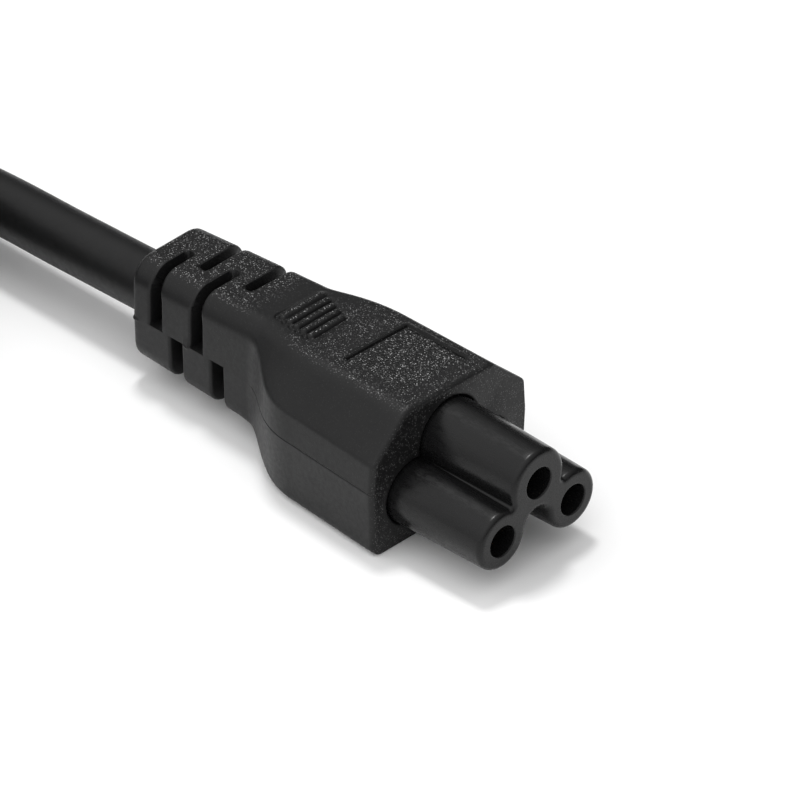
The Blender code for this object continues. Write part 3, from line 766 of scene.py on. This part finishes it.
def slot_depth(x, y, z):
    """Depth of the strain relief's slots: each is a quarter of the way round, with a scooped tip."""
    half = SLOT_WIDTH / 2 - SLOT_TOP_NARROWING * ramp(z, SLOT_TOP_FROM, SLOT_TOP_OVER)
    depth = np.zeros_like(y)
    for i in range(SLOT_COUNT):
        across = np.abs(x - (REAR_X + FIRST_SLOT_FROM_REAR + i * SLOT_PITCH))
        for level in (1, -1):
            side = (-1 if i % 2 == 0 else 1) * level
            past_tip = side * y + SLOT_PAST_CENTRES[i]
            inside = half - np.hypot(across, np.maximum(half - past_tip, 0))
            lip = SLOT_LIP - np.sqrt(SLOT_LIP**2 - np.clip(inside + SLOT_LIP, 0, SLOT_LIP) ** 2)
            wall = ramp(inside, length=SLOT_WALL) * (SLOT_DEPTH - SLOT_LIP)
            scoop = SLOT_DEPTH * np.sqrt(1 - (1 - ramp(past_tip, length=SLOT_SCOOP)) ** 2)
            in_half = ramp(level * (z - SLOT_LEVEL), length=SLOT_WALL)
            depth = np.maximum(depth, np.minimum(lip + wall, scoop) * in_half)
    return depth


def box_inside(x, y, x_range, y_range, radius=0.0):
    """Distance inside a rectangle with round corners, negative outside it."""
    across = np.abs(x - sum(x_range) / 2) - (x_range[1] - x_range[0]) / 2 + radius
    along = np.abs(y - sum(y_range) / 2) - (y_range[1] - y_range[0]) / 2 + radius
    outside = np.hypot(np.maximum(across, 0), np.maximum(along, 0))
    return radius - outside - np.minimum(np.maximum(across, along), 0)


def panel_height(x, y):
    """The sunk label panel, with a low rim and a fine gutter along its rear and far edges."""
    inside = box_inside(x, y, PANEL_X, PANEL_Y)
    wall = ramp(inside, length=PANEL_WALL)
    rear_or_far = np.minimum(x - PANEL_X[0], PANEL_Y[1] - y) < inside + 0.001
    in_gutter = 1 - ramp(inside, PANEL_WALL, PANEL_GUTTER_WIDTH)
    sunk = -PANEL_DEPTH * wall - PANEL_GUTTER_DEPTH * in_gutter * wall * rear_or_far
    rim = PANEL_RIM_HEIGHT * np.sin(math.pi * np.sqrt(ramp(-inside, length=PANEL_RIM_WIDTH)))
    return sunk + rim * ramp(np.maximum(PANEL_X[0] - x, y - PANEL_Y[1]), length=PANEL_RIM_ONSET)


def rib_parts(x, y):
    """The gripping ribs' share of their height, and that of the hollow that they stand in."""
    crest, hollow = np.zeros_like(y), np.zeros_like(y)
    half = RIB_WIDTH / 2
    for i in range(RIB_COUNT):
        across = x - (FIRST_RIB_X + i * RIB_PITCH)
        low, high = (end - i * shift for end, shift in zip(RIB_ENDS, RIB_ENDS_SHIFTS))
        past_end = np.maximum(np.maximum(low + half - y, y - high + half), 0)
        distance = np.hypot(across, past_end)
        crest = np.maximum(crest, np.sqrt(ramp(1 - (distance / half) ** 2)))
        outside = ramp(distance - half, RIB_HOLLOW_MARGIN, RIB_HOLLOW_EDGE)
        hollow = np.maximum(hollow, 0.5 + 0.5 * np.cos(math.pi * outside))
    return crest, hollow * np.clip((RIB_HOLLOW_END - y) / RIB_HOLLOW_FADE, RIB_HOLLOW_LEAST, 1)


def skewed(x, y):
    """X of a point of the strain relief, which leans back a little to its far side."""
    return x - RELIEF_SKEW * (y + RELIEF_HALF_WIDTH) * ramp(RELIEF_SKEW_FROM - x, length=RELIEF_SKEW_OVER)


def body_height(x, y, z, normals, inset):
    """How far the connector's surface stands out from its plain outline."""
    on_top = normals[..., 1] > 0.99
    crisp = ramp(np.maximum(normals[..., 0], np.where(x > 0, -normals[..., 1], 0.0)), 0.3, 0.4)
    height = -slot_depth(x, y, z) - inset * (1 - (1 - CRISP_FILLET_SHARE) * crisp)
    crest, hollow = rib_parts(x, y)
    ribs = RIB_HEIGHT * crest - RIB_HOLLOW_DEPTH * hollow
    height += np.where(on_top, panel_height(x, y) + ribs, 0.0)
    # The parting line is deeper round the shoulder and gone on the relief
    parting = PARTING_DEPTH * (ramp(x, -9.0, 3.0) * (0.55 + 0.45 * ramp(-x, -4.0, 4.0)))
    height -= parting * (np.abs(z - PARTING_HEIGHT) < 0.001)
    mark = np.hypot(x - MARK_PLACE[0], z - MARK_PLACE[1]) / MARK_RADIUS
    ridge = MARK_HEIGHT * np.exp(-((mark - MARK_RIDGE) ** 2) * 6)
    height += np.where(y < -RELIEF_HALF_WIDTH + 0.3, ridge, 0.0)
    flash = np.exp(-(((z - PARTING_HEIGHT) / FLASH_THICKNESS) ** 2))
    return height + FLASH_HEIGHT * (flash * ramp(REAR_X + FLASH_LENGTH - x, length=0.3)) * (y < 0)


def body_surface():
    """The connector's rings of points, from its rear end face to its front one."""
    rings = raised_rings(body_stations(), BodySection().at, body_height)
    return [[(skewed(x, y), y, z) for x, y, z in ring] for ring in rings]


def grain_share(mesh):
    """How grained each point of the connector is: its top and front are, but not its drafted sides."""
    points = np.empty(len(mesh.vertices) * 3)
    mesh.vertices.foreach_get("co", points)
    x, y, z = points.reshape(-1, 3).T / MM
    normals = np.array([v.normal for v in mesh.vertices])
    top = ramp(normals[:, 2], 0.85, 0.13) * ramp(z, 12.0)
    front = ramp(x - FACE_X, -0.35, 0.3) * FRONT_GRAIN
    panel = ramp(box_inside(x, y, PANEL_X, PANEL_Y), 0.2, 0.1) * (z > GRIP_HEIGHT - 0.6)
    return np.maximum.reduce([top * patchy(x, y), front, panel, np.full_like(top, LEAST_GRAIN)])


def patchy(x, y):
    """Where the top's grain has stayed open: on the relief, the ribs and between them and the panel."""
    crest, hollow = rib_parts(x, y)
    ribs = np.maximum(0.25 * hollow, ramp(crest, 0.7, 0.25))
    wave = 0.5 + 0.5 * np.sin(1.3 * x + 0.7 * y) * np.sin(0.9 * y - 0.6 * x + 1.0)
    strip = ramp(x, -6.0, 4.0) * (0.3 + 0.55 * wave)
    return np.maximum.reduce([0.8 * ramp(-x, 9.6, 2.5), ribs, strip, np.full_like(x, 0.05)])


def make_connector_body(material):
    shape = bmesh.new()
    rings = add_rings(shape, body_surface())
    radius = CORD_DIAMETER / 2 + CORD_SEAM
    flares = ((0.0, 0.2), (0.06, 0.06), (0.2, 0.0), (CORD_ROOT + 1, 0.0))
    hole = turned([(REAR_X + depth, radius + flare) for depth, flare in flares], (0.0, CORD_EXIT_HEIGHT))
    hole = add_rings(shape, [[(skewed(x, y), y, z) for x, y, z in ring] for ring in hole], -1)
    fill_between(shape, rings[0], hole[0])
    root = -INSERT_ROOT - SEAM
    lips = ((0.0, 3.5), (0.05, 2.5), (0.08, 1.6), (0.03, 0.6), (-0.12, 0.0), (root, 0.0))
    seat = lobe_rings((FACE_X + out, -NOSE_DRAFT - (SEAM + lip * SEAM_LIP)) for out, lip in lips)
    seat = add_rings(shape, seat, -1)
    fill_between(shape, rings[-1], seat[0])
    body = finish_mesh("body", shape, material)
    grain = body.data.attributes.new("grain", "FLOAT", "POINT")
    grain.data.foreach_set("value", grain_share(body.data).astype(np.float32))
    return body


# Nose


def meet_point(centre_a, reach_a, centre_b, reach_b, side):
    """The point at two given distances from two centres; side picks which of the two it is."""
    a, b = Vector(centre_a), Vector(centre_b)
    span = (b - a).length
    along = (reach_a**2 - reach_b**2 + span**2) / (2 * span)
    across = math.sqrt(reach_a**2 - along**2)
    direction = (b - a) / span
    return a + direction * along + Vector((-direction.y, direction.x)) * across * side


def lobe_outline(inset=0.0):
    """Three round lobes and the three hollow arcs that join them, tangent all the way round."""
    near, far, earth = POLES
    arch_top = WEB_ARCH_HEIGHT - POLE_HEIGHT
    arch_radius = (near[0] ** 2 + arch_top**2 - POLE_LOBE_RADIUS**2) / (2 * (POLE_LOBE_RADIUS + arch_top))
    arch = (0.0, WEB_ARCH_HEIGHT - arch_radius)
    pole_lobe, earth_lobe = POLE_LOBE_RADIUS - inset, EARTH_LOBE_RADIUS - inset
    valley = max(LOBE_VALLEY_RADIUS + inset, 0.05)
    valley_far = meet_point(earth, earth_lobe + valley, far, pole_lobe + valley, 1)
    valley_near = meet_point(earth, earth_lobe + valley, near, pole_lobe + valley, -1)
    circles = [
        (far, pole_lobe, True, 40),
        (valley_far, valley, False, 12),
        (earth, earth_lobe, True, 40),
        (valley_near, valley, False, 12),
        (near, pole_lobe, True, 40),
        (arch, arch_radius + inset, False, 16),
    ]
    points = []
    for i, (centre, radius, convex, steps) in enumerate(circles):
        centre = Vector(centre)
        before = Vector(circles[i - 1][0]) - centre
        after = Vector(circles[(i + 1) % len(circles)][0]) - centre
        start, end = math.atan2(before.y, before.x), math.atan2(after.y, after.x)
        sweep = (end - start) % math.tau if convex else -((start - end) % math.tau)
        for k in range(steps):
            angle = start + sweep * (k + 0.5) / steps
            points.append(centre + Vector((math.cos(angle), math.sin(angle))) * radius)
    return points


def lobe_rings(stations):
    """Rings of the nose's outline at each (x, inset) station."""
    return [[(x, *point) for point in lobe_outline(inset)] for x, inset in stations]


def make_nose(material):
    shape = bmesh.new()
    along = spread(FACE_X, NOSE_X - NOSE_FILLET, 0.8)
    stations = [(x, 0.0) for x in [FACE_X - INSERT_ROOT, *along[:-1]]]
    stations += [(NOSE_X - step, inset) for step, inset in reversed(fillet_steps(NOSE_FILLET, 8))]
    length = NOSE_X - FACE_X
    stations = [(x, inset - NOSE_DRAFT * min((NOSE_X - x) / length, 1.0)) for x, inset in stations]
    rings = add_rings(shape, lobe_rings([*stations, (NOSE_X, NOSE_FILLET + 0.1)]), 0)
    mouths = []
    for pole in POLES:
        sizes = [(NOSE_X, BORE_RADIUS + BORE_LIP + 0.05)]
        sizes += [(NOSE_X - step, BORE_RADIUS + inset) for step, inset in fillet_steps(BORE_LIP, 4)]
        sizes += [(NOSE_X - 3.0, BORE_RADIUS), (NOSE_X - BORE_DEPTH, BORE_RADIUS)]
        mouths.append(add_rings(shape, turned(sizes, pole), -1)[0])
    fill_between(shape, rings[-1], *mouths)
    return finish_mesh("nose", shape, material)


# Cord


def smooth_route(points, spacing):
    """Points about a spacing apart on a smooth curve through the given ones."""
    route = [Vector(p) for p in points]
    padded = [2 * route[0] - route[1], *route, 2 * route[-1] - route[-2]]
    found = []
    for a, b, c, d in zip(padded, padded[1:], padded[2:], padded[3:]):
        steps = max(1, round((c - b).length / spacing))
        for k in range(steps):
            t = k / steps
            squared = (2 * a - 5 * b + 4 * c - d) * t**2
            cubed = (3 * b - a - 3 * c + d) * t**3
            found.append(0.5 * (2 * b + (c - a) * t + squared + cubed))
    return [*found, route[-1]]


def around_coil(angle, radius, height):
    turned = math.radians(angle)
    return Vector((COIL_X + radius * math.cos(turned), COIL_Y + radius * math.sin(turned), height))


def tail_rise(turned):
    """The tail's height above the coil's upper turns; it starts to rise on the last of them."""
    run_up = TAIL_RUN_UP * LAST_TURN_RADIUS / TAIL_RADIUS
    share = max(turned + run_up, 0.0) / (TAIL_TURN + run_up)
    return (PLUG_AXIS_HEIGHT - UPPER_TURN) * (1 - math.cos(math.pi * share)) / 2


def tail_point(turned):
    """The cord's centre on the tail, by the degrees turned since it left the coil."""
    middle = around_coil(TAIL_START, LAST_TURN_RADIUS - TAIL_RADIUS, UPPER_TURN + tail_rise(turned))
    angle = math.radians(TAIL_START + turned)
    return middle + Vector((TAIL_RADIUS * math.cos(angle), TAIL_RADIUS * math.sin(angle), 0.0))


def cord_route():
    """The cord's centreline: the lead, three turns on the floor, two on top of them, and the tail."""
    start, exit_point = ((x, 0.0, CORD_EXIT_HEIGHT) for x in (REAR_X + CORD_ROOT, REAR_X))
    lead = [(x, 0.0, z) for x, z in LEAD_ROUTE]
    first_turn = around_coil(90.0, OUTER_TURN_RADIUS, FLOOR_TURN)
    return smooth_route([start, exit_point, *lead, first_turn], 2.0)[:-1] + coil_route() + tail_route()


def coil_route(step=5.0):
    radii = [OUTER_TURN_RADIUS - TURN_PITCH * i for i in range(LOWER_TURNS)]
    upper = [radii[-1] + TURN_PITCH / 2, radii[-1] + TURN_PITCH * 3 / 2]
    turns = [(r, FLOOR_TURN) for r in radii] + [(r, UPPER_TURN) for r in upper]
    found = []
    last = 360.0 * (len(turns) - 1) + TAIL_START + 270.0
    for i in range(int(last / step)):
        passed = i * step
        turn, within = divmod(passed, 360)
        radius, height = turns[int(turn)]
        following, above = turns[min(int(turn) + 1, len(turns) - 1)]
        shift = smoothstep((within - TURN_SHIFT_FROM) / (360 - TURN_SHIFT_FROM))
        rise = tail_rise((passed - last) * LAST_TURN_RADIUS / TAIL_RADIUS)
        height = mix(height, above, shift) + rise
        found.append(around_coil(90 + passed, mix(radius, following, shift), height))
    return found


def tail_route(step=5.0):
    inside_plug = plug_place() @ Vector((CORD_ROOT * MM, 0.0, 0.0)) / MM
    return [tail_point(step * i) for i in range(int(TAIL_TURN / step) + 1)] + [inside_plug]


def tube_rings(path, radius, steps):
    """Rings of points round a path, turned as little as possible from each to the next."""
    points = [Vector(p) for p in path]
    side = Vector((0.0, 1.0, 0.0))
    rings = []
    for i, point in enumerate(points):
        along = (points[min(i + 1, len(points) - 1)] - points[max(i - 1, 0)]).normalized()
        side = (side - along * side.dot(along)).normalized()
        across = along.cross(side)
        rings.append([point + side * y * radius + across * z * radius for y, z in circle(1.0, steps)])
    return rings


def settle(path):
    """The route as the cord comes to rest: turns that cross ride over each other, the floor and the tie."""
    start = np.array([tuple(p) for p in path])
    steps = np.linalg.norm(np.diff(start, axis=0), axis=1)
    passed = np.concatenate([[0.0], np.cumsum(steps)])
    apart = np.abs(passed[:, None] - passed[None, :]) > SETTLE_APART
    still = SETTLE_TO_END + passed
    free = ramp(passed, SETTLE_FROM, SETTLE_FADE_IN) * ramp(passed[-1] - still, length=SETTLE_FADE_OUT)
    turned = np.degrees(np.arctan2(start[:, 1] - COIL_Y, start[:, 0] - COIL_X))
    from_tie = np.abs((turned - TIE_ANGLE + 180.0) % 360.0 - 180.0) / TIE_LIFT_SPREAD
    lift = TIE_LIFT * np.cos(ramp(from_tie) * math.pi / 2) ** 2
    shift = np.zeros_like(start)
    shift[:, 2] = lift * free
    for _ in range(SETTLE_ROUNDS):
        points = start + shift
        offset = points[:, None] - points[None, :]
        distance = np.linalg.norm(offset, axis=2) + 1e-9
        overlap = np.where(apart, np.clip(CORD_DIAMETER + SETTLE_CLEAR - distance, 0, None), 0.0)
        push = offset / distance[..., None] * (overlap * 0.5)[..., None]
        strongest = np.abs(overlap).argmax(axis=1)
        shift += push[np.arange(len(points)), strongest] * free[:, None]
        for _ in range(SETTLE_SMOOTHING):
            shift[1:-1] = 0.5 * shift[1:-1] + 0.25 * (shift[:-2] + shift[2:])
        height = start[:, 2] + shift[:, 2]
        shift[:, 2] += np.clip(FLOOR_TURN + lift * free - height, 0, None)
    return [Vector(p) for p in start + shift]


def make_cord(material):
    path = settle(cord_route())
    shape = bmesh.new()
    add_rings(shape, tube_rings(path, CORD_DIAMETER / 2, 40), 0, -1)
    return finish_mesh("lead", shape, material), [tuple(p * MM) for p in path]


# Tie


def tie_place():
    """The frame of the tie: X along the coil's turns, Y outwards from the coil's axis."""
    turn = Matrix.Rotation(math.radians(TIE_ANGLE - 90.0), 4, "Z")
    return Matrix.Translation(Vector((COIL_X, COIL_Y, 0.0)) * MM) @ turn


def band(reach, steps=9):
    """(point, outward) pairs round the turns that the tie holds, as (y, z), at a reach from their centres."""
    low, high = FLOOR_TURN + TIE_LIFT, UPPER_TURN + TIE_LIFT
    inner = OUTER_TURN_RADIUS - (LOWER_TURNS - 1) * TURN_PITCH
    half = TURN_PITCH / 2
    turns = [(inner, low), (OUTER_TURN_RADIUS, low), (OUTER_TURN_RADIUS - half, high), (inner + half, high)]
    turns = [Vector(turn) for turn in turns]
    found = []
    for before, here, after in zip(turns[-1:] + turns, turns, onwards(turns)):
        start, end = (math.atan2(-side.x, side.y) for side in (here - before, after - here))
        for k in range(steps + 1):
            angle = start + (end - start) % math.tau * k / steps
            out = Vector((math.cos(angle), math.sin(angle)))
            found.append((here + out * reach, out))
    return found


def strip_section():
    """Outline across the tie's strip, as (across, thickness): two thin wings and the wire's ridge."""
    half = TIE_WIDTH / 2
    shares = [k / 12 - 1 for k in range(25)]
    ridge = TIE_THICKNESS - TIE_WING
    outside = [(half * s, TIE_WING + ridge * math.exp(-((s / TIE_RIDGE_SHARE) ** 2))) for s in shares]
    edge = [(half + 0.06, TIE_WING * 0.6), (half + 0.06, TIE_WING * 0.3)]
    inside = [(half - 0.05, 0.0), (-half + 0.05, 0.0)]
    return [*inside, *[(-x, out) for x, out in reversed(edge)], *outside, *edge]


def twisted_end(strand):
    """Rings of one of the tie's two ends, twisted round the other beside the coil."""
    axis = Vector((0.0, OUTER_TURN_RADIUS + CORD_DIAMETER / 2 + TIE_GAP + TIE_THICKNESS, FLOOR_TURN))
    rings = []
    for x in spread(-1.2, TIE_END, 0.15):
        angle = math.tau * x / TWIST_PITCH + math.pi * strand
        out = Vector((0.0, math.cos(angle), math.sin(angle)))
        along = Vector((0.0, -math.sin(angle), math.cos(angle)))
        middle = axis + Vector((x, 0.0, 0.0)) + out * TWIST_OFFSET
        oval = [(a * TWIST_WIDTH / 2, b * TWIST_OFFSET) for a, b in circle(1.0, 20)]
        rings.append([middle + along * a + out * b for a, b in oval])
    return rings


def make_tie(material):
    shape = bmesh.new()
    section = strip_section()
    rings = [
        [(x, point.x + out.x * h, point.y + out.y * h) for x, h in section]
        for point, out in band(CORD_DIAMETER / 2 + TIE_SLACK)
    ]
    add_rings(shape, [*rings, rings[0]])
    bmesh.ops.remove_doubles(shape, verts=shape.verts, dist=0.001 * MM)
    for strand in (0, 1):
        add_rings(shape, twisted_end(strand), 0, -1)
    return finish_mesh("tie", shape, material, place=tie_place())


# Plug


def plug_place():
    """The plug's frame: X out of its face, with the origin where the cord enters."""
    heading = math.radians(TAIL_START + TAIL_TURN + 90.0)
    return Matrix.Translation(tail_point(TAIL_TURN) * MM) @ Matrix.Rotation(heading, 4, "Z")


def plug_section(x):
    """(point, normal) pairs of the plug's outline across its axis, which match from x to x."""
    relief = mix(*PLUG_RELIEF_RADII, min(x / PLUG_RELIEF, 1.0))
    share = smoothstep((x - PLUG_RELIEF) / PLUG_SHOULDER)
    wide = mix(relief, PLUG_HALF_WIDTH, share)
    high = mix(relief, PLUG_HALF_HEIGHT, share)
    radius = mix(relief * ROUND_SHARE, PLUG_CORNER, share)
    corners = [(wide, -high), (wide, high), (-wide, high), (-wide, -high)]
    arcs = arcs_round(corners, [radius] * 4, 10)
    found = []
    for arc, following in zip(arcs, onwards(arcs)):
        found += arc + between(arc[-1][0], following[0][0], inner_shares(26))
    return found


def plug_groove_depth(x, normals):
    """Grooves round the plug's strain relief, open by turns above and below and at its sides."""
    depth = np.zeros(normals.shape[:2])
    for i in range(PLUG_GROOVES):
        inside = PLUG_GROOVE_WIDTH / 2 - np.abs(x - PLUG_GROOVE_PITCH * (i + 1))
        facing = np.abs(normals[..., (i + 1) % 2])
        depth = np.maximum(depth, PLUG_GROOVE_DEPTH * ramp(inside, length=0.12) * ramp(facing, 0.4, 0.08))
    return depth


def plug_grip_depth(x, y, z):
    """Finger grips: hollows between upright ribs, sunk into the plug's two sides."""
    fade = ramp(box_inside(x, z, PLUG_GRIP_X, PLUG_GRIP_Z, 1.5), length=0.5)
    hollow = 0.5 - 0.5 * np.cos(math.tau * (x - PLUG_GRIP_X[0]) / PLUG_RIB_PITCH)
    return np.where(np.abs(y) > PLUG_HALF_WIDTH - 0.01, PLUG_GRIP_DEPTH * fade * hollow**0.6, 0.0)


def plug_height(x, y, z, normals, inset):
    """How far the plug's surface stands out from its plain outline."""
    parting = PARTING_DEPTH * (np.abs(z) < 0.001) * (x > PLUG_RELIEF)
    return -inset - plug_groove_depth(x, normals) - np.maximum(plug_grip_depth(x, y, z), parting)


def plug_surface():
    finer = [(*PLUG_GRIP_X, PLUG_RIB_PITCH / 12)]
    for i in range(PLUG_GROOVES):
        middle = PLUG_GROOVE_PITCH * (i + 1)
        finer.append((middle - PLUG_GROOVE_WIDTH / 2 - 0.01, middle + PLUG_GROOVE_WIDTH / 2 + 0.01, 0.12))
    rear_end = (0.0, PLUG_REAR_FILLET, 4, 0.08)
    stations = rounded_stations(rear_end, (PLUG_LENGTH, PLUG_FILLET, 7, CAP_MARGIN), 0.5, finer)
    return raised_rings(stations, plug_section, plug_height)


def blade_outline(inset=0.0):
    """(x, z) points of a blade seen from the side, with round corners at its tip."""
    low, high = BLADE_RAISE - BLADE_HEIGHT / 2 + inset, BLADE_RAISE + BLADE_HEIGHT / 2 - inset
    root, tip = PLUG_LENGTH - PIN_ROOT + inset, PLUG_LENGTH + BLADE_LENGTH - inset
    corners = [(root, low), (tip, low), (tip, high), (root, high)]
    radii = [0.2, BLADE_TIP_RADIUS, BLADE_TIP_RADIUS, 0.2]
    return [point for arc in arcs_round(corners, radii, 10) for point, _ in arc]


def make_blade(name, side, material):
    """A flat blade with broken edges, a hole near its tip and a tip that thins."""
    shape = bmesh.new()
    half = BLADE_THICKNESS / 2
    middle_y = side * BLADE_SPACING / 2
    tip = PLUG_LENGTH + BLADE_LENGTH
    levels = [(-half, BLADE_EDGE), (-half + BLADE_EDGE, 0.0), (half - BLADE_EDGE, 0.0), (half, BLADE_EDGE)]

    def thinned(x, z, y):
        near_tip = smoothstep((x - tip + BLADE_TAPER) / BLADE_TAPER)
        return (x, middle_y + y * mix(1.0, 0.5, near_tip), z)

    outer = add_rings(shape, [[thinned(*p, y) for p in blade_outline(inset)] for y, inset in levels])
    hole_x = tip - BLADE_HOLE_FROM_TIP
    holes = [
        [thinned(hole_x + a, BLADE_RAISE + b, y) for a, b in circle(BLADE_HOLE_RADIUS + inset, 32)]
        for y, inset in levels
    ]
    hole = add_rings(shape, holes)
    for end in (0, -1):
        fill_between(shape, outer[end], hole[end])
    return finish_mesh(name, shape, material, 30.0, plug_place())


def make_earth_pin(material):
    """A round pin with a domed tip and a faint turned shoulder behind it."""
    shape = bmesh.new()
    root, tip = PLUG_LENGTH - PIN_ROOT, PLUG_LENGTH + EARTH_PIN_LENGTH
    sizes = [(root, EARTH_PIN_RADIUS - 0.15), (root + 0.15, EARTH_PIN_RADIUS)]
    sizes += [(x, EARTH_PIN_RADIUS) for x in spread(PLUG_LENGTH, tip - EARTH_PIN_DOME, 2.0)]
    for k in range(1, 12):
        angle = math.pi / 2 * k / 12
        sizes.append((tip - EARTH_PIN_DOME * (1 - math.sin(angle)), EARTH_PIN_RADIUS * math.cos(angle)))
    last = add_rings(shape, turned(sizes, EARTH_PIN_PLACE, 56), 0)[-1]
    end = shape.verts.new(Vector((tip, *EARTH_PIN_PLACE)) * MM)
    for side in zip(last, onwards(last)):
        shape.faces.new((*side, end))
    return finish_mesh("earth_pin", shape, material, place=plug_place())


def make_plug_body(material):
    shape = bmesh.new()
    rings = add_rings(shape, plug_surface())
    radius = CORD_DIAMETER / 2 + CORD_SEAM
    entry = turned([(0.0, radius + 0.1), (0.1, radius), (CORD_ROOT + 1, radius)], steps=56)
    fill_between(shape, rings[0], add_rings(shape, entry, -1)[0])
    depths = (PLUG_LENGTH, PLUG_LENGTH - PIN_ROOT - PIN_GAP)
    half_y, half_z = BLADE_THICKNESS / 2 + PIN_GAP, BLADE_HEIGHT / 2 + PIN_GAP
    around = [(-half_y, -half_z), (half_y, -half_z), (half_y, half_z), (-half_y, half_z)]
    holes = []
    for side in (-1, 1):
        middle_y = side * BLADE_SPACING / 2
        holes.append([[(x, middle_y + y, BLADE_RAISE + z) for y, z in around] for x in depths])
    holes.append(turned([(x, EARTH_PIN_RADIUS + PIN_GAP) for x in depths], EARTH_PIN_PLACE, 56))
    fill_between(shape, rings[-1], *[add_rings(shape, hole, -1)[0] for hole in holes])
    return finish_mesh("plug", shape, material, place=plug_place())


def place(piece, slot, *nodes):
    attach(piece, "root")
    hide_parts(*nodes)
    return piece


def main():
    make_camera()
    lead, path = make_cord(cord_black())
    place(lead, "cord_black", "cord", "cord_coil", "cord_tail")
    black, metal = grained_black(), nickel()
    on_cord = [
        place(make_tie(tie_black()), "tie_black", "cord_tie"),
        place(make_plug_body(black), "grained_black", "plug_body"),
        place(make_earth_pin(metal), "nickel", "plug_earth_pin"),
    ]
    for pole, side in (("line", -1), ("neutral", 1)):
        on_cord.append(place(make_blade(f"blade_{pole}", side, metal), "nickel", f"plug_blade_{pole}"))
    place(make_connector_body(black), "grained_black", "connector_body")
    place(make_nose(gloss_black()), "gloss_black", "connector_insert")
    inside_bores = brass()
    for pole in ("line", "neutral", "earth"):
        for material_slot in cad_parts[f"contact_{pole}"].material_slots:
            material_slot.material = inside_bores
    make_floor()
    make_light()


main()
